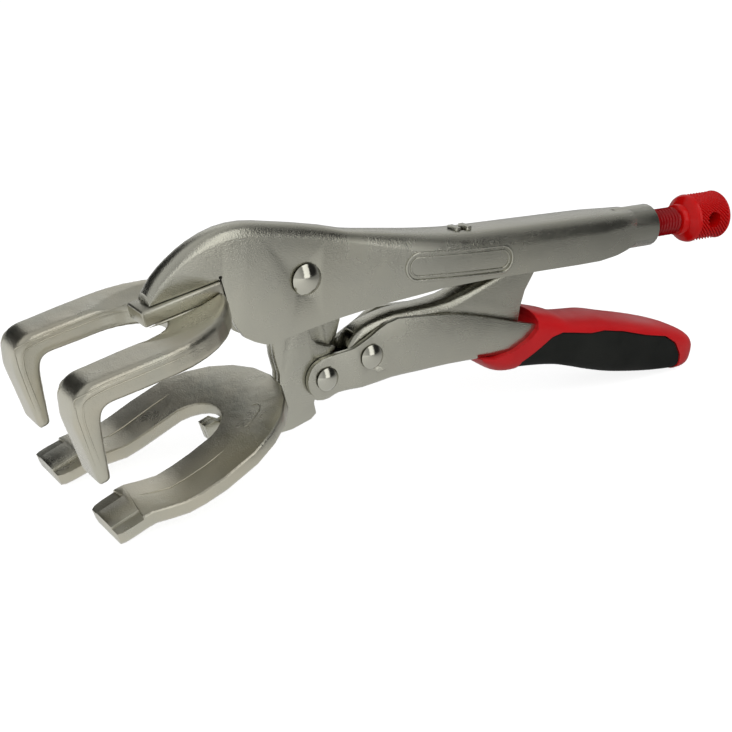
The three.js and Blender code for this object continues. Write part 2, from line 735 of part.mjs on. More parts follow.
const inlayShares = [
  [-0.106, -1.6], [-0.079, -0.62], [0, -0.1], [0.053, 0.28], [0.106, 0.45], [0.264, 0.5],
  [0.338, 0.62], [0.444, 0.63], [0.592, 0.54], [0.729, 0.52], [0.803, 0.3], [0.856, -0.12],
  [0.872, -0.5], [0.877, -1.6],
];
const mouthShares = [
  [-0.6, 1.6], [-0.09, 1.6], [-0.055, 1.02], [-0.038, 0.77], [-0.039, 0.52], [-0.075, 0.17],
  [-0.155, -0.26], [-0.242, -0.52], [-0.31, -0.54], [-0.6, -0.54],
];

function inGripFrame(form) {
  const turned = new THREE.Matrix4().makeRotationY(gripAngle).setPosition(gripOffset, 0, -gripDrop);
  return form.transform(turned.elements);
}

function gripCavity() {
  const rows = handleRows.map(([x, half, spine, corner]) => [
    x, half + gripBore, spine - gripBore, corner,
  ]);
  const read = following(rows);
  const top = following(handleTopShares.map(([x, z]) => [
    x * handleLength, z * handleDrop + gripBore,
  ]));
  const from = gripOffset - gripNose - overrun / 4;
  const count = gripRound / 2;
  const place = (u, v, w) => {
    const x = from + (w / count) * (handleLength + gripBore - from);
    const [half, spine] = read(Math.min(x, handleLength));
    const high = top(Math.min(x, handleLength))[0];
    return new THREE.Vector3(x, (2 * u - 1) * half, v ? high : spine);
  };
  return solid(formed(1, 1, count, place));
}

function gripParts() {
  const cavity = gripCavity();
  const mouth = sideways(closed(scaled(mouthShares, gripLength, gripRise)), 2 * gripHalf + overrun);
  const inlaySide = closed(scaled(inlayShares, gripLength, gripRise));
  const inlaySlab = solid(sideways(inlaySide, 2 * gripHalf + overrun));
  const grown = closed(scaled(inlayShares.map(([x, z]) => [
    x + (x < 0.4 ? -seatGap : seatGap) / gripLength, z + seatGap / gripRise,
  ]), gripLength, gripRise));
  const pocket = solid(sideways(grown, 2 * gripHalf + overrun))
    .subtract(gripForm(inlayDepth + seatGap));
  const red = inGripFrame(gripForm(0).subtract(pocket).subtract(solid(mouth))).subtract(cavity);
  const black = inGripFrame(gripForm(0).intersect(inlaySlab).subtract(gripForm(inlayDepth)));
  return [mesh('grip_sleeve', red, redGrip), mesh('grip_inlay', black, blackGrip)];
}

// Adjusting screw along X: a rounded point, the threaded shank and the knob
function alongX(profile) {
  const lathe = new THREE.LatheGeometry(profile, ringSteps);
  return solid(lathe.rotateZ(-Math.PI / 2).translate(0, 0, -screwDrop));
}

const pointShares = [[0.6, 0], [0.9, 0.06], [1, 0.16], [1, 1]];
const knobShares = [
  [0.62, 0], [0.64, 0.13], [0.76, 0.16], [0.93, 0.19], [1, 0.25], [1, 0.94], [0.92, 1],
];

function screwParts() {
  const tip = noseX + openPivotGap;
  const knobFront = tailReach + knobStand;
  const point = [
    new THREE.Vector2(0, tip),
    ...pointShares.map(([r, x]) => new THREE.Vector2(r * screwRadius, tip + x * screwPointLength)),
    new THREE.Vector2(0, tip + screwPointLength),
  ];
  const shank = [
    new THREE.Vector2(0, tip + screwPointLength + seatGap),
    new THREE.Vector2(screwRadius, tip + screwPointLength + seatGap),
    new THREE.Vector2(screwRadius, knobFront - seatGap),
    new THREE.Vector2(0, knobFront - seatGap),
  ];
  const knob = [
    new THREE.Vector2(0, knobFront),
    ...knobShares.map(([r, x]) => new THREE.Vector2(r * knobRadius, knobFront + x * knobLength)),
    new THREE.Vector2(0, knobFront + knobLength),
  ];
  const holeX = knobFront + knobLength * 0.59;
  const hole = crossPin(crossHole, 2 * knobRadius + overrun, holeX, holeRise - screwDrop);
  return [
    mesh('screw_point', alongX(point), redPaint),
    mesh('screw_shank', alongX(shank), redPaint),
    mesh('screw_knob', alongX(knob).subtract(solid(hole)), redPaint),
  ];
}

// Extension spring: a hook through the lever's right plate, close curls and a hook on the lug
class SpringPath extends THREE.Curve {
  getPoint(t, target = new THREE.Vector3()) {
    const lugTop = following(bodyRows)(lugBack)[1];
    const eyeZ = lugTop - lugDepth + hookHole + lugThick / 2;
    const start = new THREE.Vector3(coilFront, 0, -coilFrontDrop);
    const axis = new THREE.Vector3(Math.cos(coilRise), 0, Math.sin(coilRise));
    const up = new THREE.Vector3(-Math.sin(coilRise), 0, Math.cos(coilRise));
    const coilLength = coilTurns * coilPitch;
    const along = t * coilLength;
    const angle = t * coilTurns * 2 * Math.PI;
    target.copy(start).addScaledVector(axis, along);
    target.y = -coilRadius * Math.cos(angle);
    target.addScaledVector(up, coilRadius * Math.sin(angle));
    this.eyeZ = eyeZ;
    return target;
  }
}

function spring() {
  const coil = new SpringPath();
  const points = [];
  const steps = coilTurns * curlSteps;
  for (let i = 0; i <= steps; i += 1) {
    points.push(coil.getPoint(i / steps));
  }
  const side = -wireRadius - 2 * seatGap;
  const head = [
    new THREE.Vector3(hookBack, leverPlate, -hookDrop),
    new THREE.Vector3(hookBack, 0, -hookDrop),
    new THREE.Vector3(hookBack + wireRadius, side, -hookDrop + wireRadius),
    new THREE.Vector3(coilFront - coilPitch * 2, side * 1.5, -coilFrontDrop - coilPitch / 2),
  ];
  const end = points[points.length - 1];
  const tail = [
    new THREE.Vector3(end.x + coilPitch, -coilRadius * 0.5, end.z + wireRadius),
    new THREE.Vector3(lugBack - 2 * coilPitch, 0, coil.eyeZ),
    new THREE.Vector3(lugBack + lugThick + coilPitch, 0, coil.eyeZ),
  ];
  const run = [...head, ...points, ...tail];
  console.log('extension_spring least gap to itself', leastGap(run).toFixed(2), 'mm');
  return mesh('extension_spring', wire(run), springSteel);
}

// Least clear distance between stretches of the wire that lie half a curl or more apart
function leastGap(points) {
  const samples = [];
  let travelled = 0;
  for (let i = 1; i < points.length; i += 1) {
    const stride = points[i].distanceTo(points[i - 1]);
    for (let k = 0; k < arcSteps; k += 1) {
      const point = points[i - 1].clone().lerp(points[i], k / arcSteps);
      samples.push({ point, at: travelled + (stride * k) / arcSteps });
    }
    travelled += stride;
  }
  let least = Infinity;
  samples.forEach((one, i) => samples.slice(i).forEach((other) => {
    if (other.at - one.at > Math.PI * coilRadius) {
      least = Math.min(least, one.point.distanceTo(other.point));
    }
  }));
  return least - 2 * wireRadius;
}

// Unbroken wire through a run of points, with rings square to the run
function wire(points) {
  const rings = points.map((point, i) => {
    const before = points[Math.max(i - 1, 0)];
    const after = points[Math.min(i + 1, points.length - 1)];
    const ahead = after.clone().sub(before).normalize();
    return { point, ahead };
  });
  const normal = new THREE.Vector3(0, 0, 1);
  const frames = rings.map(({ point, ahead }) => {
    normal.addScaledVector(ahead, -normal.dot(ahead)).normalize();
    return { point, normal: normal.clone(), side: ahead.clone().cross(normal) };
  });
  const place = (u, v, w) => {
    const { point, normal: up, side } = frames[w];
    if (v < 0) {
      return point;
    }
    const angle = (u / wireSides) * 2 * Math.PI;
    return point.clone()
      .addScaledVector(up, wireRadius * Math.cos(angle))
      .addScaledVector(side, wireRadius * Math.sin(angle));
  };
  return lofted(wireSides, points.length, place);
}

// Lowest corner of a piece once the tool is tilted about Y
function lowest(piece, tilt) {
  piece.updateWorldMatrix(true, false);
  const position = piece.geometry.attributes.position;
  const corner = new THREE.Vector3();
  const best = new THREE.Vector3(0, 0, Infinity);
  let least = Infinity;
  for (let i = 0; i < position.count; i += 1) {
    corner.fromBufferAttribute(position, i).applyMatrix4(piece.matrixWorld);
    const height = corner.z * Math.cos(tilt) - corner.x * Math.sin(tilt);
    if (height < least) {
      least = height;
      best.copy(corner);
    }
  }
  return best;
}

// Tool about the main rivet
const tool = new THREE.Group();
const upperForkGroup = new THREE.Group();
upperForkGroup.rotation.y = -upperSlope;
upperForkGroup.add(upperFork(), tangBar());
const lowerForkGroup = new THREE.Group();
lowerForkGroup.rotation.y = -lowerSlope;
const fork = lowerFork();
lowerForkGroup.add(fork, weldBead('weld_bead_left', -1), weldBead('weld_bead_right', 1));
const handleGroup = new THREE.Group();
handleGroup.position.set(leverBack, 0, -leverDrop);
handleGroup.rotation.y = -handleAngle;
const [sleeve, inlay] = gripParts();
const linkGroup = new THREE.Group();
linkGroup.position.set(toggleArm, 0, 0);
linkGroup.add(toggleLink(), rivet('link_rivet', smallShank, linkHead, smallDome, linkHalfAtRivet));
handleGroup.add(
  lowerHandle(), sleeve, inlay, linkGroup,
  rivet('handle_rivet', smallShank, handleHead, smallDome, earHalf, rivetBack, -rivetDrop),
);
tool.add(
  upperChannel(), upperForkGroup, lowerForkGroup, handleGroup,
  rivet('main_rivet', mainShank, mainHead, mainDome, frontHalf, pivotBack),
  lever('lever_plate_left', -1, true), lever('lever_plate_right', 1, false),
  ...screwParts(), spring(),
);

// Stood on the tips of the lower fork and the underside of the grip
let tilt = 0;
for (let pass = 0; pass < arcSteps; pass += 1) {
  const front = lowest(fork, tilt);
  const rear = lowest(inlay, tilt);
  tilt = Math.atan2(rear.z - front.z, rear.x - front.x);
}
tool.rotation.y = tilt;
tool.updateMatrixWorld(true);
const extent = new THREE.Box3().setFromObject(tool, true);
tool.position.set(-(extent.min.x + extent.max.x) / 2, 0, -extent.min.z);

const pliers = new THREE.Group();
pliers.add(tool);
export default pliers;
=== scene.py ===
"""Looks of the welding locking pliers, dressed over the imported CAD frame.

Every piece is made in millimetres about the tool's datum and placed in metres in the row frame.
"""

import logging
import math
from dataclasses import dataclass
from enum import Enum
from functools import reduce
from typing import Any, Callable, Iterable, Optional, Sequence, Union

import bmesh
import bpy
from mathutils import Matrix, Vector
from mathutils.bvhtree import BVHTree


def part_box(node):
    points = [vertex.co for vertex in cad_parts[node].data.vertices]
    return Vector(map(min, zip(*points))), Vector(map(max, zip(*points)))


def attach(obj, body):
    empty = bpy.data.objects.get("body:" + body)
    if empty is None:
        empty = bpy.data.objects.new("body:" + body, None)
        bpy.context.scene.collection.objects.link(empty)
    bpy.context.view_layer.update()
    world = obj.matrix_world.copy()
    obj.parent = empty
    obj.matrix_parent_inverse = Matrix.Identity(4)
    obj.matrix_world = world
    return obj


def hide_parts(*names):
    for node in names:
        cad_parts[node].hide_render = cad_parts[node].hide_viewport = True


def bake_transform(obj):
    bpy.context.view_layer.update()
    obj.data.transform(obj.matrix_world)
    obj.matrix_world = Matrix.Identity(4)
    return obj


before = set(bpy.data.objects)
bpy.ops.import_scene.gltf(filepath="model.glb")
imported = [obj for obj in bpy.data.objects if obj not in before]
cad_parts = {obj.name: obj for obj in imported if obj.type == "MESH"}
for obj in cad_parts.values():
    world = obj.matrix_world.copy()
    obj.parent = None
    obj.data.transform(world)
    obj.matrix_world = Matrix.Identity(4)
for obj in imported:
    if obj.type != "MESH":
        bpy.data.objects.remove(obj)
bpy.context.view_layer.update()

logging.basicConfig(level=logging.INFO, format="%(message)s")
LOG = logging.getLogger("pliers")

MM = 0.001
Row = Sequence[float]
Number = Union[float, "Value"]


# How the tool stands in the row frame: its lean, and its datum beside the main rivet
TILT = math.radians(0.5992075)
DATUM = (-49.28992, 0, 61.72953)

# Places of its tilted pieces, in millimetres about the datum
UPPER_SLOPE = math.radians(13)
LOWER_SLOPE = math.radians(20.5)
AXIS_DROP = 1.5
LEVER_BACK, LEVER_DROP = 8.6, 35.8
LINK_BACK, LINK_REACH = 17.9, 84.2
HANDLE_ANGLE = math.asin((LEVER_DROP - AXIS_DROP) / (LINK_BACK + LINK_REACH))
GRIP_PLACE = (82, 0, -30.5)
GRIP_SLOPE = math.radians(31.2)

# Frames of the tool and of its tilted pieces, from millimetres to the row frame
ROW = Matrix.Diagonal((MM, MM, MM, 1))
TOOL = ROW @ Matrix.Translation(DATUM) @ Matrix.Rotation(TILT, 4, "Y")
UPPER_FORK = TOOL @ Matrix.Rotation(-UPPER_SLOPE, 4, "Y")
LOWER_FORK = TOOL @ Matrix.Rotation(-LOWER_SLOPE, 4, "Y")
HANDLE = (
    TOOL
    @ Matrix.Translation((LEVER_BACK, 0, -LEVER_DROP))
    @ Matrix.Rotation(-HANDLE_ANGLE, 4, "Y")
)
GRIP = HANDLE @ Matrix.Translation(GRIP_PLACE) @ Matrix.Rotation(GRIP_SLOPE, 4, "Y")


class Body(Enum):
    """The moving bodies of the tool."""

    UPPER = "upper_body"
    JAW = "jaw_lever"
    HANDLE = "handle"
    LINK = "link"
    SCREW_TIP = "screw_tip"
    SCREW = "screw"


class Cut(Enum):
    """What is left of an object that a cutter meets."""

    OUTSIDE = "DIFFERENCE"
    INSIDE = "INTERSECT"


# Shader maths


class Value:
    """A socket in a shader expression, on which the operators add Math nodes."""

    def __init__(self, graph: "Graph", socket: bpy.types.NodeSocket) -> None:
        """Keeps the socket and the graph that it belongs to."""
        self.graph = graph
        self.socket = socket

    def _math(self, operation: str, first: Number, second: Number) -> "Value":
        """Adds one Math node on two terms and returns its result."""
        node = self.graph.node(
            "ShaderNodeMath", {"operation": operation}, {0: first, 1: second}
        )
        return Value(self.graph, node.outputs[0])

    def __add__(self, other: Number) -> "Value":
        """Sum."""
        return self._math("ADD", self, other)

    __radd__ = __add__

    def __sub__(self, other: Number) -> "Value":
        """Difference."""
        return self._math("SUBTRACT", self, other)

    def __rsub__(self, other: Number) -> "Value":
        """Reflected difference, as in 1 - mask."""
        return self._math("SUBTRACT", other, self)

    def __mul__(self, other: Number) -> "Value":
        """Product."""
        return self._math("MULTIPLY", self, other)

    __rmul__ = __mul__

    def most(self, other: Number) -> "Value":
        """The larger of two terms."""
        return self._math("MAXIMUM", self, other)


class Graph:
    """A node tree that is filled from expressions."""

    def __init__(self, tree: bpy.types.NodeTree) -> None:
        """Empties the tree."""
        self.tree = tree
        tree.nodes.clear()

    def node(
        self,
        kind: str,
        settings: Optional[dict[str, Any]] = None,
        inputs: Optional[dict[Union[str, int], Any]] = None,
    ) -> bpy.types.Node:
        """Adds a node of any type.

        Args:
            kind: The node's type.
            settings: Its properties.
            inputs: Values or links of its sockets.

        Returns:
            The new node.
        """
        made = self.tree.nodes.new(kind)
        for key, value in (settings or {}).items():
            setattr(made, key, value)
        for key, value in (inputs or {}).items():
            if isinstance(value, Value):
                self.tree.links.new(value.socket, made.inputs[key])
            elif isinstance(value, bpy.types.NodeSocket):
                self.tree.links.new(value, made.inputs[key])
            else:
                made.inputs[key].default_value = value
        return made

    def value(self, *args: Any, output: Union[str, int] = 0) -> Value:
        """Adds a node and returns one of its outputs as a term."""
        return Value(self, self.node(*args).outputs[output])

    def noise(self, where: Value, scale: float, detail: float = 2.0) -> Value:
        """Noise of a given scale at a place, from 0 to 1."""
        return self.value(
            "ShaderNodeTexNoise", {}, {"Vector": where, "Scale": scale, "Detail": detail}
        )

    def stepped(self, term: Value, low: float, high: float) -> Value:
        """Smooth step of a term from 0 at low to 1 at high."""
        return self.value(
            "ShaderNodeMapRange",
            {"interpolation_type": "SMOOTHSTEP"},
            {"Value": term, "From Min": low, "From Max": high},
        )

    def stretched(self, where: Value, scale: Row) -> Value:
        """Coordinates scaled for a pattern with a grain."""
        return self.value(
            "ShaderNodeMapping", {}, {"Vector": where, "Scale": tuple(scale)}
        )

    def mixed(self, share: Number, first: Any, second: Any) -> Value:
        """Mixes two colours.

        Args:
            share: Share of the second colour.
            first: A colour, plain or worked out by nodes.
            second: The other.

        Returns:
            The mixed colour.
        """
        node = self.node("ShaderNodeMix", {"data_type": "RGBA"}, {"Factor": share})
        for index, colour in ((6, first), (7, second)):
            if isinstance(colour, Value):
                self.tree.links.new(colour.socket, node.inputs[index])
            else:
                node.inputs[index].default_value = (*colour, 1)
        return Value(self, node.outputs[2])


@dataclass(frozen=True)
class Finish:
    """What all finishes share: a name, the row's slot and the shader's plain values."""

    name: str
    slot: str
    colour: tuple[float, float, float]
    second: tuple[float, float, float]
    roughness: float
    metallic: float = 0.0
    grain_scale: float = 2400.0
    grain_height: float = 0.02
    dent_scale: float = 160.0
    dent_height: float = 0.05
    edge_radius: float = 0.0

    DRIFT_SCALE, CLOUD_SCALE = 22.0, 140.0
    CLOUD_SHARE = 0.3
    FADE = (0.35, 0.68)
    SMEAR_SCALE = (60, 320, 320)

    def material(self) -> bpy.types.Material:
        """Builds the material once.

        Returns:
            The material.
        """
        found = bpy.data.materials.get(self.name)
        if found:
            return found
        made = bpy.data.materials.new(self.name)
        made.use_nodes = True
        graph = Graph(made.node_tree)
        where = graph.value("ShaderNodeTexCoord", output="Object")
        shader = graph.node(
            "ShaderNodeBsdfPrincipled",
            {},
            {
                "Base Color": self.tint(graph, where),
                "Roughness": self.polish(graph, where),
                "Metallic": self.metallic,
                "Normal": self.relief(graph, where),
            },
        )
        self.plain_values(shader)
        graph.node("ShaderNodeOutputMaterial", {}, {"Surface": shader.outputs[0]})
        return made

    def plain_values(self, shader: bpy.types.Node) -> None:
        """Sets the sockets that are the same all over the surface."""
        shader.inputs["Specular IOR Level"].default_value = 0.5

    def tint(self, graph: Graph, where: Value) -> Value:
        """Colour that drifts between the finish's two colours.

        Args:
            graph: The material's graph.
            where: The piece's own coordinates.

        Returns:
            The colour.
        """
        drift = graph.noise(where, self.DRIFT_SCALE, 3.0) * (1 - self.CLOUD_SHARE)
        cloud = graph.noise(where, self.CLOUD_SCALE, 3.0) * self.CLOUD_SHARE
        share = graph.stepped(drift + cloud, *self.FADE)
        return graph.mixed(share, self.colour, self.second)

    def about(self, term: Value, spread: float) -> Value:
        """Roughness that a term from 0 to 1 varies about the finish's own."""
        return term * spread + (self.roughness - spread / 2)

    def polish(self, graph: Graph, where: Value) -> Value:
        """Roughness with faint smears."""
        smear = graph.noise(graph.stretched(where, self.SMEAR_SCALE), 1.0, 3.0)
        return self.about(smear, 0.14)

    def relief(self, graph: Graph, where: Value) -> Value:
        """Bump of a fine grain on shallow dents, over rounded edges.

        Args:
            graph: The material's graph.
            where: The piece's own coordinates.

        Returns:
            The normal.
        """
        grain = graph.noise(where, self.grain_scale, 3.0)
        dents = graph.noise(where, self.dent_scale, 2.0)
        height = grain * (self.grain_height * MM) + dents * (self.dent_height * MM)
        inputs: dict[Union[str, int], Any] = {
            "Height": height,
            "Distance": 1.0,
            "Strength": 1.0,
        }
        if self.edge_radius > 0:
            inputs["Normal"] = graph.value(
                "ShaderNodeBevel", {"samples": 4}, {"Radius": self.edge_radius * MM}
            )
        return graph.value("ShaderNodeBump", {}, inputs)


@dataclass(frozen=True)
class Plate(Finish):
    """Nickel plate: satin, with scuffs that run along the tool."""

    metallic: float = 1.0
    scuff: float = 0.5

    SCRATCH_SCALE = (60, 2400, 2400)
    SCRATCH_EDGE = (0.66, 0.74)

    def polish(self, graph: Graph, where: Value) -> Value:
        """Roughness with cloudy smears and a few scuffs along the length.

        Args:
            graph: The material's graph.
            where: The piece's own coordinates.

        Returns:
            The roughness.
        """
        smear = graph.noise(where, 70.0, 4.0)
        scratch = graph.noise(graph.stretched(where, self.SCRATCH_SCALE), 1.0, 2.0)
        line = graph.stepped(scratch, *self.SCRATCH_EDGE) * (self.scuff * 0.12)
        return self.about(smear, 0.16) + line


@dataclass(frozen=True)
class Paint(Finish):
    """Sprayed paint, worn to the metal in small chips."""

    chip: tuple[float, float, float] = (0.2, 0.02, 0.02)
    wear: float = 0.7
    gloss: float = 0.3

    def plain_values(self, shader: bpy.types.Node) -> None:
        """Sets the paint's gloss."""
        shader.inputs["Specular IOR Level"].default_value = self.gloss

    def tint(self, graph: Graph, where: Value) -> Value:
        """Paint colour with sparse chips.

        Args:
            graph: The material's graph.
            where: The piece's own coordinates.

        Returns:
            The colour.
        """
        base = Finish.tint(self, graph, where)
        speck = graph.noise(where, 900.0, 4.0)
        return graph.mixed(
            graph.stepped(speck, self.wear, self.wear + 0.03), base, self.chip
        )


@dataclass(frozen=True)
class Moulded(Finish):
    """Moulded plastic or soft rubber, with a fine leathery grain and rubbed patches."""

    gloss: float = 0.24

    def plain_values(self, shader: bpy.types.Node) -> None:
        """Sets the low gloss of rubber."""
        shader.inputs["Specular IOR Level"].default_value = self.gloss

    def polish(self, graph: Graph, where: Value) -> Value:
        """Roughness with rubbed patches."""
        patch = graph.noise(where, 55.0, 4.0)
        return self.about(graph.stepped(patch, 0.3, 0.7), 0.18)


NICKEL = Plate(
    "nickel_plate", "nickel", (0.46, 0.455, 0.39), (0.5, 0.49, 0.41), 0.26,
    grain_scale=2000.0, grain_height=0.08, dent_scale=160.0, dent_height=0.07,
)
FORGED = Plate(
    "forged_plate", "forged", (0.46, 0.455, 0.385), (0.52, 0.49, 0.395), 0.29,
    grain_scale=1900.0, grain_height=0.08, dent_scale=130.0, dent_height=0.22,
    scuff=0.3,
)
# Dark weld scale on the jaw's beads, partly painted shade: darker than the scale alone, so the
# crotch between lever and fork reads as in shadow
WELD_SCALE_AND_SHADE = Plate(
    "weld_scale_and_painted_shade", "forged", (0.2, 0.19, 0.16), (0.3, 0.28, 0.23), 0.32,
    grain_scale=1500.0, grain_height=0.1, dent_scale=420.0, dent_height=0.3,
)
RIVET = Plate(
    "rivet_polish", "rivet", (0.5, 0.495, 0.43), (0.55, 0.54, 0.46), 0.13,
    grain_scale=1500.0, grain_height=0.008, dent_height=0.02, scuff=0.4,
)
WIRE = Plate(
    "spring_wire", "spring", (0.4, 0.39, 0.37), (0.48, 0.47, 0.44), 0.25,
    grain_height=0.01, dent_height=0.0,
)
SCREW_PAINT = Paint(
    "screw_red", "red_paint", (0.49, 0.002, 0.002), (0.41, 0.002, 0.002), 0.22,
    grain_scale=1500.0, grain_height=0.012, dent_height=0.02, gloss=0.25,
)
# Painted shade: a darker copy of the screw's red paint, standing in for the shade that the knob
# and tube cast on the shank
SHADED_SHANK_PAINT = Paint(
    "shank_red_painted_shade", "red_paint", (0.26, 0.001, 0.003), (0.2, 0.001, 0.003), 0.22,
    grain_scale=1500.0, grain_height=0.012, dent_height=0.02, gloss=0.4,
)
GRIP_RED = Moulded(
    "grip_red", "red_grip", (0.5, 0.008, 0.01), (0.42, 0.006, 0.009), 0.44,
    grain_scale=2600.0, grain_height=0.02, dent_scale=90.0, dent_height=0.05,
    edge_radius=0.5,
)
GRIP_BLACK = Moulded(
    "grip_black", "black_grip", (0.008, 0.009, 0.008), (0.014, 0.015, 0.013), 0.7,
    grain_scale=1900.0, grain_height=0.05, dent_height=0.03, gloss=0.12,
)


# Modelling

SIDES = (("left", -1), ("right", 1))
OUTSIDE = 20.0


def placed(name: str, data: bpy.types.ID) -> bpy.types.Object:
    """Makes an object of its data and puts it in the scene.

    Args:
        name: The object's name.
        data: Its mesh, camera or lamp.

    Returns:
        The object.
    """
    made = bpy.data.objects.new(name, data)
    bpy.context.scene.collection.objects.link(made)
    return made


def corners(made: dict[str, Any]) -> list[bmesh.types.BMVert]:
    """The corners among what an extrusion made."""
    return [item for item in made["geom"] if isinstance(item, bmesh.types.BMVert)]


class Form:
    """A mesh in the making, in millimetres in a frame of its own."""

    MERGE = 0.002
    FLAT = math.radians(0.6)

    def __init__(self, place: Matrix = TOOL) -> None:
        """Starts an empty form.

        Args:
            place: The frame that takes it from millimetres to the row frame.
        """
        self.bm = bmesh.new()
        self.place = place

    @classmethod
    def copied(cls, node: str) -> "Form":
        """A merged copy of a CAD node, with its flat faces joined up.

        Args:
            node: The CAD node's name.

        Returns:
            The form, in millimetres of the row frame.
        """
        form = cls(ROW)
        form.bm.from_mesh(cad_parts[node].data)
        bmesh.ops.scale(form.bm, vec=(1 / MM,) * 3, verts=form.bm.verts)
        bmesh.ops.remove_doubles(form.bm, verts=form.bm.verts, dist=cls.MERGE)
        bmesh.ops.dissolve_limit(
            form.bm, angle_limit=cls.FLAT, verts=form.bm.verts, edges=form.bm.edges
        )
        return form

    def spun(self, profile: Sequence[Row], along: Vector, steps: int) -> "Form":
        """Spins a profile of (place along the axis, radius) a full turn.

        Args:
            profile: Points from one end of the axis to the other.
            along: The axis.
            steps: Faces round the turn.

        Returns:
            This form.
        """
        across = Vector((0, 0, 1))
        verts = [
            self.bm.verts.new(along * place + across * radius)
            for place, radius in profile
        ]
        edges = [self.bm.edges.new(pair) for pair in zip(verts, verts[1:])]
        bmesh.ops.spin(
            self.bm,
            geom=verts + edges,
            cent=(0, 0, 0),
            axis=along,
            dvec=(0, 0, 0),
            angle=2 * math.pi,
            steps=steps,
            use_merge=True,
        )
        bmesh.ops.remove_doubles(self.bm, verts=self.bm.verts, dist=1e-4)
        bmesh.ops.recalc_face_normals(self.bm, faces=self.bm.faces)
        return self

    def prism(self, outline: Sequence[Row], width: float) -> "Form":
        """Extrudes a side view, points (x, z), across the tool.

        Args:
            outline: The closed outline.
            width: Full width across Y.

        Returns:
            This form.
        """
        verts = [self.bm.verts.new((x, -width / 2, z)) for x, z in outline]
        face = self.bm.faces.new(verts)
        out = bmesh.ops.extrude_face_region(self.bm, geom=[face])
        bmesh.ops.translate(self.bm, vec=(0, width, 0), verts=corners(out))
        bmesh.ops.recalc_face_normals(self.bm, faces=self.bm.faces)
        return self

    def reshaped(self, rule: Callable[[Vector], Vector]) -> "Form":
        """Moves every corner.

        Args:
            rule: Where a corner goes from its place.

        Returns:
            This form.
        """
        for vert in self.bm.verts:
            vert.co = rule(vert.co.copy())
        return self

    def taken_to(self, place: Matrix) -> "Form":
        """Takes the form over to another frame, where it stays in the same place.

        Args:
            place: The other frame.

        Returns:
            This form.
        """
        self.bm.transform(place.inverted() @ self.place)
        self.place = place
        return self

    def moved(self, step: Row) -> "Form":
        """Shifts the form in its own frame."""
        bmesh.ops.translate(self.bm, vec=tuple(step), verts=self.bm.verts)
        return self

    def rounded(self, width: float, angle: float = 30.0, segments: int = 2) -> "Form":
        """Bevels every edge that is sharper than an angle.

        Args:
            width: The bevel's offset.
            angle: Least angle between the faces, in degrees.
            segments: Faces across the bevel.

        Returns:
            This form.
        """
        sharp = [
            edge
            for edge in self.bm.edges
            if edge.is_manifold
            and abs(edge.calc_face_angle()) > math.radians(angle)
            and edge.calc_length() > width * 0.4
        ]
        self.bevel(sharp, width, segments)
        return self

    def bevel(self, edges: list[bmesh.types.BMEdge], width: float, segments: int) -> None:
        """Bevels edges with round arcs."""
        bmesh.ops.bevel(
            self.bm, geom=edges, offset=width, offset_type="OFFSET", segments=segments,
            profile=0.5, affect="EDGES", clamp_overlap=True, material=-1,
        )

    def softened(self, grain: float, rounds: int) -> "Form":
        """Remeshes the form finely and smooths it, as a forging's edges are.

        Args:
            grain: Size of the new faces in millimetres.
            rounds: How often every corner is smoothed.

        Returns:
            This form.
        """
        made = self.raw("blank")
        step = made.modifiers.new("fine", "REMESH")
        step.mode = "VOXEL"
        step.voxel_size = grain * MM
        graph = bpy.context.evaluated_depsgraph_get()
        data = bpy.data.meshes.new_from_object(made.evaluated_get(graph))
        bpy.data.objects.remove(made)
        self.bm = bmesh.new()
        self.bm.from_mesh(data)
        self.bm.transform(self.place.inverted())
        for _ in range(rounds):
            self.smooth(self.bm.verts)
        return self

    def smooth(self, verts: Iterable[bmesh.types.BMVert]) -> None:
        """Smooths corners once."""
        bmesh.ops.smooth_vert(
            self.bm, verts=list(verts), factor=0.5,
            use_axis_x=True, use_axis_y=True, use_axis_z=True,
        )

    def surface(self) -> BVHTree:
        """The form as a surface that rays can be cast on, in millimetres."""
        return BVHTree.FromBMesh(self.bm)

    def raw(self, name: str) -> bpy.types.Object:
        """Turns the form into an object in the row frame, which uses it up.

        Args:
            name: The object's name.

        Returns:
            The object.
        """
        data = bpy.data.meshes.new(name)
        self.bm.transform(self.place)
        self.bm.to_mesh(data)
        self.bm.free()
        return placed(name, data)


def cut(target: bpy.types.Object, cutter: Form, kept: Cut = Cut.OUTSIDE) -> None:
    """Cuts an object with a form.

    Args:
        target: The object, whose mesh is replaced by the result.
        cutter: The form, which is used up.
        kept: Which part of the object is left.
    """
    tool = cutter.raw("cutter")
    step = target.modifiers.new("cut", "BOOLEAN")
    step.operation = kept.value
    step.object = tool
    step.solver = "EXACT"
    graph = bpy.context.evaluated_depsgraph_get()
    data = bpy.data.meshes.new_from_object(target.evaluated_get(graph))
    target.modifiers.clear()
    old, target.data = target.data, data
    bpy.data.meshes.remove(old)
    bpy.data.objects.remove(tool)


def coat(made: bpy.types.Object, finish: Finish, nodes: Iterable[str]) -> None:
    """Gives a piece its smooth shading and finish, and reports it.

    Args:
        made: The piece, in place and on its body.
        finish: Its finish.
        nodes: The CAD nodes that it stands for.
    """
    data = made.data
    data.polygons.foreach_set("use_smooth", [True] * len(data.polygons))
    data.materials.clear()
    data.materials.append(finish.material())
    for node in nodes:
        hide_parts(node)
    LOG.info("%s: %d faces", made.name, len(data.polygons))


def dress(
    made: bpy.types.Object,
    body: Body,
    finish: Finish,
    nodes: Iterable[str] = (),
    sharp: float = 35.0,
) -> None:
    """Puts a rigid piece on its body and coats it.

    Args:
        made: The piece, in place.
        body: The body that it rides on.
        finish: Its finish.
        nodes: The CAD nodes that it stands for.
        sharp: Angle in degrees past which an edge stays crisp.
    """
    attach(made, body.value)
    coat(made, finish, nodes)
    made.data.set_sharp_from_angle(angle=math.radians(sharp))


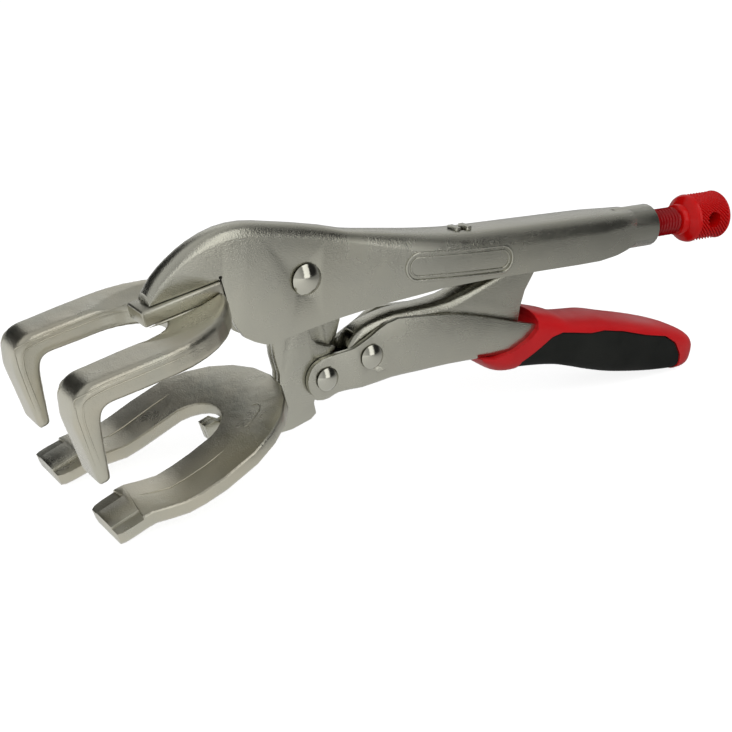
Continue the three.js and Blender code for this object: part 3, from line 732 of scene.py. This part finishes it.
def between(rows: Sequence[Row], steps: int) -> list[list[float]]:
    """Rows with smooth ones put between them, through every given row.

    Args:
        rows: Rows of equal length.
        steps: How many stretches each gap is cut into.

    Returns:
        The finer rows.
    """
    fine = []
    for i in range(len(rows) - 1):
        quad = [rows[max(i - 1, 0)], rows[i], rows[i + 1], rows[min(i + 2, len(rows) - 1)]]
        for k in range(steps):
            t = k / steps
            fine.append([
                0.5 * (
                    2 * b + (c - a) * t + (2 * a - 5 * b + 4 * c - d) * t * t
                    + (3 * b - a - 3 * c + d) * t**3
                )
                for a, b, c, d in zip(*quad)
            ])
    fine.append(list(rows[-1]))
    return fine


def seam(
    name: str,
    path: Sequence[Row],
    wall: BVHTree,
    towards: Row,
    place: Matrix,
    width: float = 0.24,
) -> bpy.types.Object:
    """A fine raised line on a surface, such as a forging's flash.

    Args:
        name: The piece's name.
        path: Points before the surface, in the frame of the surface.
        wall: The surface.
        towards: Direction from the points to the surface.
        place: The frame.
        width: Radius of the half-sunk line.

    Returns:
        The piece as a mesh.
    """
    aim = Vector(towards).normalized()
    hits = [wall.ray_cast(Vector(point), aim)[0] for point in between(path, 8)]
    laid = [hit for hit in hits if hit]
    return wire(name, laid, width, place, taper=True)


def wire(
    name: str,
    points: Sequence[Vector],
    radius: float,
    place: Matrix,
    taper: bool = False,
) -> bpy.types.Object:
    """A round wire through points.

    Args:
        name: The piece's name.
        points: Its middle line in millimetres.
        radius: Its radius.
        place: The frame of the points.
        taper: Whether it thins out at both ends.

    Returns:
        The wire as a mesh in the row frame.
    """
    curve = bpy.data.curves.new(name, "CURVE")
    curve.dimensions = "3D"
    curve.bevel_depth = radius
    curve.bevel_resolution = 3
    curve.use_fill_caps = True
    spline = curve.splines.new("POLY")
    spline.points.add(len(points) - 1)
    for i, (slot, point) in enumerate(zip(spline.points, points)):
        slot.co = (*point, 1)
        ends = min(i, len(points) - 1 - i)
        slot.radius = min(1, (ends + 0.5) / 6) if taper else 1
    holder = bpy.data.objects.new(name, curve)
    data = bpy.data.meshes.new_from_object(holder)
    bpy.data.objects.remove(holder)
    data.transform(place)
    return placed(name, data)


def pin(radius: float) -> list[Row]:
    """Profile of a round pin that runs out past both walls."""
    return [(-OUTSIDE, 0), (-OUTSIDE, radius), (OUTSIDE, radius), (OUTSIDE, 0)]


def scaled(shares: Sequence[Row], across: float, up: float) -> list[tuple[float, float]]:
    """Outline points from shares of a length and a height."""
    return [(x * across, z * up) for x, z in shares]


# Upper body


@dataclass
class UpperBody:
    """Pressed channel with the tang bar, its welds and the raised frame; the main rivet on this
    body is made with the other rivets.
    """

    frame_half: float = 16.6
    frame_radius: float = 5.25
    frame_x: float = 58.9
    frame_z: float = -1.5
    frame_slope: float = -0.041
    frame_width: float = 1.0
    frame_proud: float = 0.5
    frame_step: float = 1.7
    inner_share: float = 0.6
    edge: float = 0.35
    bar_edge: float = 0.8
    relief: float = 0.6
    relief_x: float = -29.5
    relief_z: float = 4.75
    weld: float = 0.42
    weld_y: float = 5.95
    weld_z: float = 5.2
    weld_front: float = 54.5
    weld_rear: float = 29.0
    weld_steps: int = 30
    straight_cuts: int = 20

    def build(self) -> None:
        """Makes and dresses the pieces."""
        channel = Form.copied("upper_channel").rounded(self.edge).raw("channel_shell")
        hole = Form(TOOL).spun(pin(self.relief), Vector((0, 1, 0)), 24)
        cut(channel, hole.moved((self.relief_x, 0, self.relief_z)))
        dress(channel, Body.UPPER, NICKEL, ["upper_channel"])
        bar = Form.copied("tang_bar").rounded(self.bar_edge, segments=3)
        dress(bar.raw("tang_block"), Body.UPPER, FORGED, ["tang_bar"])
        for side, flank in SIDES:
            ends = [
                Vector((x, flank * self.weld_y, self.weld_z))
                for x in (-self.weld_front, -self.weld_rear)
            ]
            shares = [i / self.weld_steps for i in range(self.weld_steps + 1)]
            points = [ends[0].lerp(ends[1], share) for share in shares]
            bead = wire(f"tang_weld_{side}", points, self.weld, UPPER_FORK, taper=True)
            dress(bead, Body.UPPER, FORGED, sharp=80)
        width, proud, share = self.frame_width, self.frame_proud, self.inner_share
        self.raised_frame(self.frame_radius, width, proud, "outer")
        inner = self.frame_radius - self.frame_step
        self.raised_frame(inner, width * share, proud * share, "inner")

    def raised_frame(self, radius: float, width: float, proud: float, name: str) -> None:
        """One line of the bare raised frame on the near wall.

        Args:
            radius: Half height of the line's outline.
            width: Width of the line.
            proud: How far it stands up.
            name: Which line it is.
        """
        shell = bmesh.new()
        shell.from_mesh(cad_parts["upper_channel"].data)
        wall = BVHTree.FromBMesh(shell)
        shell.free()
        form = Form()
        bmesh.ops.create_circle(form.bm, segments=64, radius=radius)
        ring = list(form.bm.edges)
        out = bmesh.ops.extrude_edge_only(form.bm, edges=ring)
        share = 1 - width / radius
        bmesh.ops.scale(form.bm, vec=(share, share, 1), verts=corners(out))

        def laid(point: Vector) -> Vector:
            """Stretches the flat ring to a frame that stands beside the wall.

            Args:
                point: A corner of the ring.

            Returns:
                Its place beside the wall.
            """
            x = point.x + math.copysign(self.frame_half, point.x)
            z = point.y + self.frame_z + self.frame_slope * x
            return Vector((x + self.frame_x, -OUTSIDE, z))

        form.reshaped(laid)
        straight = [edge for edge in form.bm.edges if edge.calc_length() > self.frame_half]
        bmesh.ops.subdivide_edges(
            form.bm, edges=straight, cuts=self.straight_cuts, use_grid_fill=True
        )
        bmesh.ops.transform(form.bm, matrix=form.place, verts=form.bm.verts)
        form.place = Matrix.Identity(4)
        for vert in form.bm.verts:
            hit = wall.ray_cast(vert.co, Vector((0, 1, 0)))
            vert.co.y = hit[0].y
        raised = bmesh.ops.extrude_face_region(form.bm, geom=list(form.bm.faces))
        lifted = set(corners(raised))
        bmesh.ops.translate(form.bm, vec=(0, -proud * MM, 0), verts=list(lifted))
        bmesh.ops.recalc_face_normals(form.bm, faces=form.bm.faces)
        top = [
            edge
            for edge in form.bm.edges
            if lifted.issuperset(edge.verts) and edge.calc_face_angle(0) > 0.8
        ]
        form.bevel(top, width * 0.3 * MM, 2)
        dress(form.raw(f"raised_frame_{name}"), Body.UPPER, NICKEL, sharp=60)


@dataclass
class UpperFork:
    """Forged fork with its two legs, soft at every edge, with the flash of its dies."""

    edge: float = 0.6
    grain: float = 0.6
    rounds: int = 5
    flash: float = 3.1
    top: float = 7.5
    front: float = 91.2
    outer: float = 30.9
    inner: float = 8.7
    leg: float = 23.9
    bend_start: float = 70.0
    bend_low: float = -22.0
    bend_step: float = 0.5
    bend_rounds: int = 20

    # The flash along an arm and round its bend: place, and drop below the flash's height
    ARM = ((-60, 0), (-70, 0), (-76, 0), (-81, -0.1))
    BEND = ((1.6, -1.2), (0, -5), (0, -12))
    TIP = (1, 6)

    def build(self) -> None:
        """Makes and dresses the fork and its flash."""
        form = Form.copied("upper_fork").rounded(self.edge, angle=35, segments=2)
        form.taken_to(UPPER_FORK).softened(self.grain, self.rounds)
        self.round_bends(form)
        wall = form.surface()
        dress(form.raw("fork_upper"), Body.UPPER, FORGED, ["upper_fork"], sharp=80)
        self.flash_lines(wall)

    def round_bends(self, form: Form) -> None:
        """Smooths the bends of the arms, more the nearer to their fronts.

        Args:
            form: The fork in its own frame.
        """
        for i in range(self.bend_rounds):
            rear = -(self.bend_start + i * self.bend_step)
            low = self.bend_low + i * self.bend_step
            form.smooth(v for v in form.bm.verts if v.co.x < rear and v.co.z > low)

    def flash_lines(self, wall: BVHTree) -> None:
        """Flash along the arms' outer and inner sides and down the legs.

        Args:
            wall: The fork's surface.
        """
        for name, flank in SIDES:
            for depth in (1.5, self.flash):
                z = self.top - depth
                bend = depth - self.front
                side = [(x, z + drop) for x, drop in self.ARM]
                side += [(bend + back, z + drop) for back, drop in self.BEND]
                side.append((bend + self.TIP[0], self.TIP[1] - self.leg))
                for edge, place, aim, start in (
                    ("outer", self.outer + OUTSIDE, -flank, -50),
                    ("inner", self.inner, flank, -52),
                ):
                    path = [(x, flank * place, rise) for x, rise in [(start, z), *side]]
                    label = f"flash_{name}_{edge}_{round(depth)}"
                    line = seam(label, path, wall, (0, aim, 0), UPPER_FORK, width=0.26)
                    dress(line, Body.UPPER, FORGED, sharp=80)


@dataclass
class LowerJaw:
    """Lever plates, bowed fork and weld beads."""

    edge: float = 0.3
    plate_edge: float = 0.25

    MARKS = {
        "near": ((-80, -21), (-74, -22), (-66, -22.6), (-58, -23), (-51, -22.6)),
        "far": ((-84, 21), (-76, 22), (-66, 22.8), (-56, 23.4), (-47, 23)),
        "base": ((-41, -19), (-37, -17.6), (-33, -15), (-31.5, -12), (-33.5, -10.4)),
    }

    def build(self) -> None:
        """Makes and dresses the pieces."""
        form = Form.copied("lower_fork").rounded(self.edge, segments=2)
        form.taken_to(LOWER_FORK)
        wall = form.surface()
        dress(form.raw("fork_lower"), Body.JAW, FORGED, ["lower_fork"])
        for name, path in self.MARKS.items():
            above = [(x, y, 0) for x, y in path]
            line = seam(f"ridge_{name}", above, wall, (0, 0, -1), LOWER_FORK)
            dress(line, Body.JAW, FORGED, sharp=80)
        for side, _ in SIDES:
            node = f"lever_plate_{side}"
            plate = Form.copied(node).rounded(self.plate_edge)
            dress(plate.raw(f"lever_{side}"), Body.JAW, NICKEL, [node])
            node = f"weld_bead_{side}"
            bead = Form.copied(node)
            bmesh.ops.subdivide_edges(
                bead.bm, edges=bead.bm.edges, cuts=1, use_grid_fill=True, smooth=1.0
            )
            dress(bead.raw(f"bead_{side}"), Body.JAW, WELD_SCALE_AND_SHADE, [node], sharp=80)


@dataclass
class Rivets:
    """Domed rivets across the tool."""

    steps: int = 64
    gap: float = 0.3
    main: tuple[float, float, float] = (4, 5.2, 2.4)
    lever: tuple[float, float, float] = (3, 4, 1.8)
    link: tuple[float, float, float] = (3, 4.2, 1.8)
    main_half: float = 5.0
    lever_half: float = 4.6
    rim_share: float = 0.16

    MAIN_PLACE = (0.9, 0, 0)
    LEVER_PLACE = (1.1, 0, -0.4)

    def build(self) -> None:
        """Makes the three rivets."""
        place = TOOL @ Matrix.Translation(self.MAIN_PLACE)
        names = ("rivet_main", "main_rivet", Body.UPPER)
        self.rivet(*names, self.main, self.main_half, place)
        place = HANDLE @ Matrix.Translation(self.LEVER_PLACE)
        names = ("rivet_handle", "handle_rivet", Body.JAW)
        self.rivet(*names, self.lever, self.lever_half, place)
        low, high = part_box("link_rivet")
        half = (high.y - low.y) / 2 / MM - self.link[2] - self.gap
        place = HANDLE @ Matrix.Translation((LINK_BACK, 0, 0))
        names = ("rivet_link", "link_rivet", Body.HANDLE)
        self.rivet(*names, self.link, half, place)

    def rivet(
        self,
        name: str,
        node: str,
        body: Body,
        sizes: tuple[float, float, float],
        half: float,
        place: Matrix,
    ) -> None:
        """Spins one rivet with a dome at each end.

        Args:
            name: The piece's name.
            node: The CAD node that it stands for.
            body: The body that it rides on.
            sizes: Radius of the shank, radius of the heads and height of the heads.
            half: Half width of the walls that it holds.
            place: Its frame.
        """
        shank, head, dome = sizes
        seat = half + self.gap
        rim = dome * self.rim_share
        rise = dome - rim
        ball = (head**2 + rise**2) / (2 * rise)
        tilt = math.asin(head / ball)
        arc = [
            (seat + dome - ball * (1 - math.cos(a)), ball * math.sin(a))
            for a in (tilt * (1 - i / 12) for i in range(13))
        ]
        right = [(seat, shank), (seat, head * 0.97), (seat + rim * 0.5, head), *arc]
        left = [(-along, radius) for along, radius in reversed(right)]
        form = Form(place).spun([*left, *right], Vector((0, 1, 0)), self.steps)
        dress(form.raw(name), body, RIVET, [node], sharp=40)


@dataclass
class Handle:
    """Pressed handle and its two-tone grip."""

    length: float = 82.8
    rise: float = 11.0
    half: float = 12.5
    squareness: float = 0.62
    sunk: float = 0.35
    lift: float = 0.14
    gap: float = 0.3
    round_steps: int = 72
    width: float = 45.0
    edge: float = 0.3

    ROWS = (
        (-0.31, -0.5, -0.62, 0.8), (-0.285, -0.35, -0.79, 0.82), (-0.24, 0, -0.94, 0.84),
        (-0.19, 0.4, -1.05, 0.84), (-0.13, 0.8, -1.06, 0.84), (-0.06, 1.02, -0.96, 0.84),
        (0.02, 1.01, -0.89, 0.84), (0.09, 0.96, -0.84, 0.86), (0.16, 0.88, -0.82, 0.9),
        (0.25, 0.93, -0.87, 0.95), (0.35, 1, -0.94, 1), (0.47, 0.96, -0.98, 1.02),
        (0.62, 0.92, -0.95, 1), (0.76, 0.84, -0.88, 0.95), (0.88, 0.7, -0.78, 0.85),
        (0.95, 0.5, -0.66, 0.68), (0.99, 0.18, -0.47, 0.44), (1, -0.04, -0.26, 0.2),
    )
    INLAY = (
        (-0.106, -1.6), (-0.079, -0.62), (0, -0.1), (0.053, 0.28), (0.106, 0.45),
        (0.264, 0.5), (0.338, 0.62), (0.444, 0.63), (0.592, 0.54), (0.729, 0.52),
        (0.803, 0.3), (0.856, -0.12), (0.872, -0.5), (0.877, -1.6),
    )
    MOUTH = (
        (-0.6, 1.6), (-0.09, 1.6), (-0.055, 1.02), (-0.038, 0.77), (-0.039, 0.52),
        (-0.075, 0.17), (-0.155, -0.26), (-0.242, -0.52), (-0.31, -0.54), (-0.6, -0.54),
    )

    def build(self) -> None:
        """Makes and dresses the handle and its grip."""
        form = Form.copied("lower_handle").rounded(self.edge)
        dress(form.raw("handle_shell"), Body.HANDLE, NICKEL, ["lower_handle"])
        self.sleeve()
        self.inlay()

    def loft(self, inset: float) -> Form:
        """The grip's outside, or a smaller one inside it.

        Args:
            inset: How far inside the outside it lies.

        Returns:
            The form in the grip's frame.
        """
        rows = between(
            [
                [
                    min(x * self.length, self.length - inset),
                    top * self.rise - inset,
                    low * self.rise + inset,
                    half * self.half - inset,
                ]
                for x, top, low, half in self.ROWS
            ],
            4,
        )
        last = len(rows) - 1
        profile = [(0.0, 0.0), *((float(i), 1.0) for i in range(last + 1)), (float(last), 0.0)]
        form = Form(GRIP).spun(profile, Vector((1, 0, 0)), self.round_steps)

        def laid(point: Vector) -> Vector:
            """Puts a corner of the plain barrel on the grip's surface.

            Args:
                point: The corner, whose place along the barrel counts the rows.

            Returns:
                Its place on the grip.
            """
            x, top, low, half = rows[min(max(round(point.x), 0), last)]
            middle = (top + low) / 2
            if math.hypot(point.y, point.z) < 0.5:
                return Vector((x, 0, middle))
            angle = math.atan2(point.z, point.y)
            c, s = math.cos(angle), math.sin(angle)
            return Vector((
                x,
                half * math.copysign(abs(c) ** self.squareness, c),
                middle + (top - low) / 2 * math.copysign(abs(s) ** self.squareness, s),
            ))

        return form.reshaped(laid).moved((0, 0, self.lift))

    def sleeve(self) -> None:
        """The red sleeve, open at its mouth and hollow round the handle."""
        made = self.loft(0).raw("grip_shell")
        cut(made, self.pocket())
        mouth = scaled(self.MOUTH, self.length, self.rise)
        cut(made, Form(GRIP).prism(mouth, self.width))
        dress(made, Body.HANDLE, GRIP_RED, ["grip_sleeve"], sharp=42)

    def pocket(self) -> Form:
        """The space that the inlay fills, with a fine gap round it."""
        grown = [
            (
                x * self.length + (-self.gap if x < 0.4 else self.gap),
                z * self.rise + self.gap,
            )
            for x, z in self.INLAY
        ]
        return Form(GRIP).prism(grown, self.width)

    def inlay(self) -> None:
        """The black inlay on both flanks and underneath."""
        made = self.loft(self.sunk).raw("grip_panel")
        outline = scaled(self.INLAY, self.length, self.rise)
        cut(made, Form(GRIP).prism(outline, self.width), Cut.INSIDE)
        dress(made, Body.HANDLE, GRIP_BLACK, ["grip_inlay"], sharp=42)


@dataclass
class Link:
    """Pressed toggle link."""

    edge: float = 0.3

    def build(self) -> None:
        """Makes and dresses the link."""
        form = Form.copied("toggle_link").rounded(self.edge)
        dress(form.raw("link_shell"), Body.LINK, NICKEL, ["toggle_link"])


@dataclass
class AdjustingScrew:
    """Adjusting screw: rounded point, threaded shank and knurled knob."""

    start: float = 107.164
    reach: float = 7.0
    gap: float = 0.3
    radius: float = 5.2
    pitch: float = 1.5
    thread_depth: float = 1.0
    thread_rows: int = 8
    crest_share: float = 0.12
    end_share: float = 0.7
    nose_share: float = 0.22
    tip_share: float = 0.45
    knob_radius: float = 9.1
    knob_front: float = 165.6
    knob_length: float = 21.6
    knurls: int = 38
    knurl_faces: int = 6
    knurl_rows: int = 84
    knurl_depth: float = 1.1
    knurl_ease: float = 0.5
    cross_share: float = 0.35
    hole: float = 3.0
    hole_share: float = 0.59
    hole_rise: float = 0.6

    KNOB = (
        (0, 0), (0, 0.6), (0.012, 0.635), (0.13, 0.64), (0.145, 0.72), (0.165, 0.77),
        (0.2, 0.9), (0.235, 0.965), (0.26, 0.985), (0.275, 0.99),
    )
    KNURL = (0.285, 0.945)
    TAIL = ((0.96, 0.985), (0.985, 0.95), (1.0, 0.89), (1.0, 0))

    def build(self) -> None:
        """Makes and dresses the three pieces."""
        self.point()
        self.shank()
        self.knob()

    def axis(self) -> Matrix:
        """Frame along the screw's axis."""
        return TOOL @ Matrix.Translation((0, 0, -AXIS_DROP))

    def point(self) -> None:
        """The rounded point that the link bears on."""
        nose, tip = self.reach * self.nose_share, self.radius * self.tip_share
        arc = [
            (nose * (1 - math.cos(a)), tip + (self.radius - tip) * math.sin(a))
            for a in (math.radians(15 * i) for i in range(7))
        ]
        profile = [(0, 0), *arc, (self.reach, self.radius), (self.reach, 0)]
        form = Form(self.axis()).spun(profile, Vector((1, 0, 0)), 64)
        form.moved((self.start, 0, 0))
        dress(form.raw("screw_nose"), Body.SCREW_TIP, SCREW_PAINT, ["screw_point"])

    def shank(self) -> None:
        """The threaded shank."""
        first = self.start + self.reach + self.gap
        length = self.knob_front - self.gap - first
        count = round(length / self.pitch * self.thread_rows)
        profile = [(0, 0), *((length * i / count, 1) for i in range(count + 1)), (length, 0)]
        form = Form(self.axis()).spun(profile, Vector((1, 0, 0)), 48)

        def threaded(point: Vector) -> Vector:
            """Puts a corner of the plain bar on the thread.

            Args:
                point: The corner.

            Returns:
                Its place on the thread.
            """
            if math.hypot(point.y, point.z) < 0.5:
                return point
            turn = math.atan2(point.z, point.y) / (2 * math.pi)
            phase = (point.x / self.pitch + turn) % 1
            slope = (abs(2 * phase - 1) - self.crest_share) / (1 - 2 * self.crest_share)
            wave = min(max(slope, 0), 1)
            ends = min(1, point.x / self.pitch, (length - point.x) / self.pitch)
            depth = self.thread_depth * (wave * ends + (1 - ends) * self.end_share)
            radius = self.radius - depth
            return Vector((point.x, point.y * radius, point.z * radius))

        form.reshaped(threaded).moved((first, 0, 0))
        dress(form.raw("screw_thread"), Body.SCREW, SHADED_SHANK_PAINT, ["screw_shank"], sharp=70)

    def knob(self) -> None:
        """The knob with its diamond knurl and cross hole."""
        begin, end = (share * self.knob_length for share in self.KNURL)
        count = self.knurl_rows
        rows = scaled(self.KNOB, self.knob_length, 1)
        rows += [(begin + (end - begin) * i / count, 1.0) for i in range(count + 1)]
        rows += scaled(self.TAIL, self.knob_length, 1)
        steps = self.knurls * self.knurl_faces
        form = Form(self.axis()).spun(rows, Vector((1, 0, 0)), steps)

        def knurled(point: Vector) -> Vector:
            """Puts a corner of the turned knob on the knurl's diamonds.

            Args:
                point: The corner, at a share of the knob's radius.

            Returns:
                Its place on the knob.
            """
            share = math.hypot(point.y, point.z)
            if share < 1e-3:
                return point
            radius = self.knob_radius * share
            if begin - 1e-3 <= point.x <= end + 1e-3:
                turn = math.atan2(point.z, point.y) / (2 * math.pi) * self.knurls
                lead = point.x / (2 * math.pi * self.knob_radius / self.knurls)
                main, cross = (
                    abs(((turn + way * lead) % 1) * 2 - 1) for way in (-1, 1)
                )
                inside = min(point.x - begin, end - point.x)
                ease = max(min(1, inside / self.knurl_ease), 0)
                radius -= self.knurl_depth * ease * max(main**1.4, cross * self.cross_share)
            return Vector((point.x, point.y * radius / share, point.z * radius / share))

        form.reshaped(knurled).moved((self.knob_front, 0, 0))
        made = form.raw("screw_grip")
        hole = Form(self.axis())
        middle = self.knob_front + self.knob_length * self.hole_share
        hole.spun(pin(self.hole), Vector((0, 1, 0)), 40)
        hole.moved((middle, 0, self.hole_rise))
        cut(made, hole)
        dress(made, Body.SCREW, SCREW_PAINT, ["screw_knob"], sharp=60)


@dataclass
class Spring:
    """Extension spring from the lever's hole to the lug."""

    wire: float = 0.55
    radius: float = 2.9
    pitch: float = 1.6
    turns: int = 22
    turn_steps: int = 16
    rise: float = 13.0
    eye_start: float = 57.8

    START = (18, 0, -8.4)
    HOOK = ((9.5, 2.3, -11.5), (9.5, 0.8, -11.5), (9.9, -0.9, -11.2), (14.8, -1.8, -9.2))

    def build(self) -> None:
        """Makes and dresses the spring."""
        slope = math.radians(self.rise)
        along = Vector((math.cos(slope), 0, math.sin(slope)))
        up = Vector((-math.sin(slope), 0, math.cos(slope)))
        start = Vector(self.START)
        steps = self.turns * self.turn_steps
        coil = []
        for i in range(steps + 1):
            angle = i / steps * self.turns * 2 * math.pi
            point = start + along * (i / steps * self.turns * self.pitch)
            point += up * (self.radius * math.sin(angle))
            point.y = -self.radius * math.cos(angle)
            coil.append(point)
        end = coil[-1]
        head = [Vector(point) for point in self.HOOK]
        tail = [Vector((end.x + self.pitch, end.y / 2, end.z + self.wire))]
        last = TOOL.inverted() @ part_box("extension_spring")[1]
        height = last.z - self.wire
        tail += [Vector((x, 0, height)) for x in (self.eye_start, last.x)]
        made = wire("spring_coil", [*head, *coil, *tail], self.wire, TOOL)
        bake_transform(made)
        coat(made, WIRE, ["extension_spring"])


@dataclass
class Studio:
    """Floor, soft light and the camera at the photograph's place."""

    place: tuple[float, float, float] = (-272.145, -382.478, 200.665)
    ahead: tuple[float, float, float] = (0.511462, 0.781218, -0.357918)
    roll: float = math.radians(1.26725)
    focal_pixels: float = 1445.658
    frame_pixels: float = 732.0
    floor_size: float = 6.0
    floor_drop: float = 0.0002
    floor_light: float = 0.8
    floor_mirrored: float = 0.18
    floor_seen: float = 0.3
    floor_clear: float = 0.88
    shine: float = 0.82
    shine_fall: float = 0.72
    surround: float = 0.66
    window_gain: float = 0.5
    strip_gain: float = 1.3

    # Darker parts of what metal mirrors: direction, cosines where it starts and is full, share
    SHADES = (
        ((0.68, -0.6, 0.42), 0.12, 0.94, 0.66),
        ((0.68, -0.6, 0.42), 0.8, 0.96, 0.9),
        ((-0.38, 0.87, 0.36), 0.85, 0.925, 0.98),
        ((0.05, 0.76, 0.65), 0.94, 0.99, 0.4),
    )
    WINDOW = ((0.22, 0.85, 0.48), 0.975, 0.997)
    STRIP = (
        (0.22, -0.97, 0.16), (0.22, -0.88, 0.42), (0.22, -0.74, 0.64), (0.22, -0.52, 0.83),
    )
    STRIP_EDGE = (0.955, 0.98)
    FLOOR_FADE = (-0.25, 0.3)

    def build(self) -> None:
        """Makes the studio."""
        bpy.context.scene.view_settings.view_transform = "Standard"
        self.camera()
        self.floor()
        self.world()
        self.lamps()

    def camera(self) -> None:
        """The camera at the photograph's viewing angle."""
        data = bpy.data.cameras.new("camera")
        data.sensor_width = 36.0
        data.lens = self.focal_pixels / self.frame_pixels * data.sensor_width
        data.clip_start = 0.01
        data.clip_end = 50.0
        camera = placed("camera", data)
        turn = Vector(self.ahead).to_track_quat("-Z", "Y").to_matrix().to_4x4()
        turn = turn @ Matrix.Rotation(self.roll, 4, "Z")
        camera.matrix_world = Matrix.Translation(Vector(self.place) * MM) @ turn
        bpy.context.scene.camera = camera

    def floor(self) -> None:
        """Pale floor with the object's soft shadow, through which an open handle is seen."""
        bm = bmesh.new()
        bmesh.ops.create_grid(bm, x_segments=1, y_segments=1, size=self.floor_size)
        data = bpy.data.meshes.new("floor")
        bm.to_mesh(data)
        bm.free()
        floor = placed("floor", data)
        floor.location.z = -self.floor_drop
        material = bpy.data.materials.new("pale_floor")
        material.use_nodes = True
        graph = Graph(material.node_tree)
        path = graph.node("ShaderNodeLightPath")
        seen = Value(graph, path.outputs["Is Camera Ray"])
        mirrored = Value(graph, path.outputs["Is Glossy Ray"])
        where = graph.node("ShaderNodeTexCoord").outputs["Object"]
        along = graph.value("ShaderNodeSeparateXYZ", {}, {0: where})
        shade = graph.stepped(along, *self.FLOOR_FADE)
        light, dark, faint = (
            (level,) * 3 for level in (self.floor_light, self.floor_mirrored, self.floor_seen)
        )
        colour = graph.mixed(seen, graph.mixed(mirrored, light, dark), faint)
        diffuse = graph.node("ShaderNodeBsdfDiffuse", {}, {"Color": colour})
        shine = mirrored * (self.shine - shade * self.shine_fall)
        glow = graph.node("ShaderNodeEmission", {}, {"Strength": shine})
        through = (*(self.floor_clear,) * 3, 1)
        clear = graph.node("ShaderNodeBsdfTransparent", {}, {"Color": through})
        base = graph.node(
            "ShaderNodeMixShader", {}, {0: seen, 1: glow.outputs[0], 2: clear.outputs[0]}
        )
        both = graph.node(
            "ShaderNodeAddShader", {}, {0: diffuse.outputs[0], 1: base.outputs[0]}
        )
        graph.node("ShaderNodeOutputMaterial", {}, {"Surface": both.outputs[0]})
        data.materials.append(material)

    def world(self) -> None:
        """Soft studio surround: white to the camera, graded where metal mirrors it."""
        world = bpy.data.worlds.new("studio")
        world.use_nodes = True
        bpy.context.scene.world = world
        graph = Graph(world.node_tree)
        where = graph.value("ShaderNodeTexCoord", output="Generated")
        path = graph.node("ShaderNodeLightPath")
        seen = Value(graph, path.outputs["Is Camera Ray"])
        window = self.patch(graph, where, *self.WINDOW)
        level = window * self.window_gain + self.surround
        for centre, low, high, share in self.SHADES:
            level = level * (1 - self.patch(graph, where, centre, low, high) * share)
        patches = [self.patch(graph, where, aim, *self.STRIP_EDGE) for aim in self.STRIP]
        level = level + reduce(Value.most, patches) * self.strip_gain
        strength = level * (1 - seen) + seen
        back = graph.node(
            "ShaderNodeBackground", {}, {"Color": (1, 1, 1, 1), "Strength": strength}
        )
        graph.node("ShaderNodeOutputWorld", {}, {"Surface": back.outputs[0]})

    @staticmethod
    def patch(graph: Graph, where: Value, centre: Row, low: float, high: float) -> Value:
        """A soft round patch of the surround.

        Args:
            graph: The world's graph.
            where: Direction of the ray.
            centre: Direction of the patch's middle.
            low: Cosine at which it starts.
            high: Cosine at which it is full.

        Returns:
            Its share, from 0 to 1.
        """
        aim = graph.value(
            "ShaderNodeVectorMath",
            {"operation": "DOT_PRODUCT"},
            {0: where, 1: tuple(Vector(centre).normalized())},
            output="Value",
        )
        return graph.stepped(aim, low, high)

    def lamps(self) -> None:
        """Two soft boxes."""
        for name, place, size, energy in (
            ("key", (-0.5, -0.9, 1.1), 0.9, 7.0),
            ("fill", (0.9, -0.4, 0.9), 0.8, 3.0),
        ):
            data = bpy.data.lights.new(name, "AREA")
            data.size = size
            data.energy = energy
            lamp = placed(name, data)
            lamp.visible_glossy = False
            aim = -Vector(place).normalized()
            lamp.location = place
            lamp.rotation_euler = aim.to_track_quat("-Z", "Y").to_euler()


def main() -> None:
    """Builds the sub-assemblies in order."""
    parts = (
        Studio(), UpperBody(), UpperFork(), LowerJaw(), Rivets(), Handle(), Link(),
        AdjustingScrew(), Spring(),
    )
    for part in parts:
        LOG.info("building %s", type(part).__name__)
        part.build()
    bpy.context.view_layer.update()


if __name__ == "__main__":
    main()
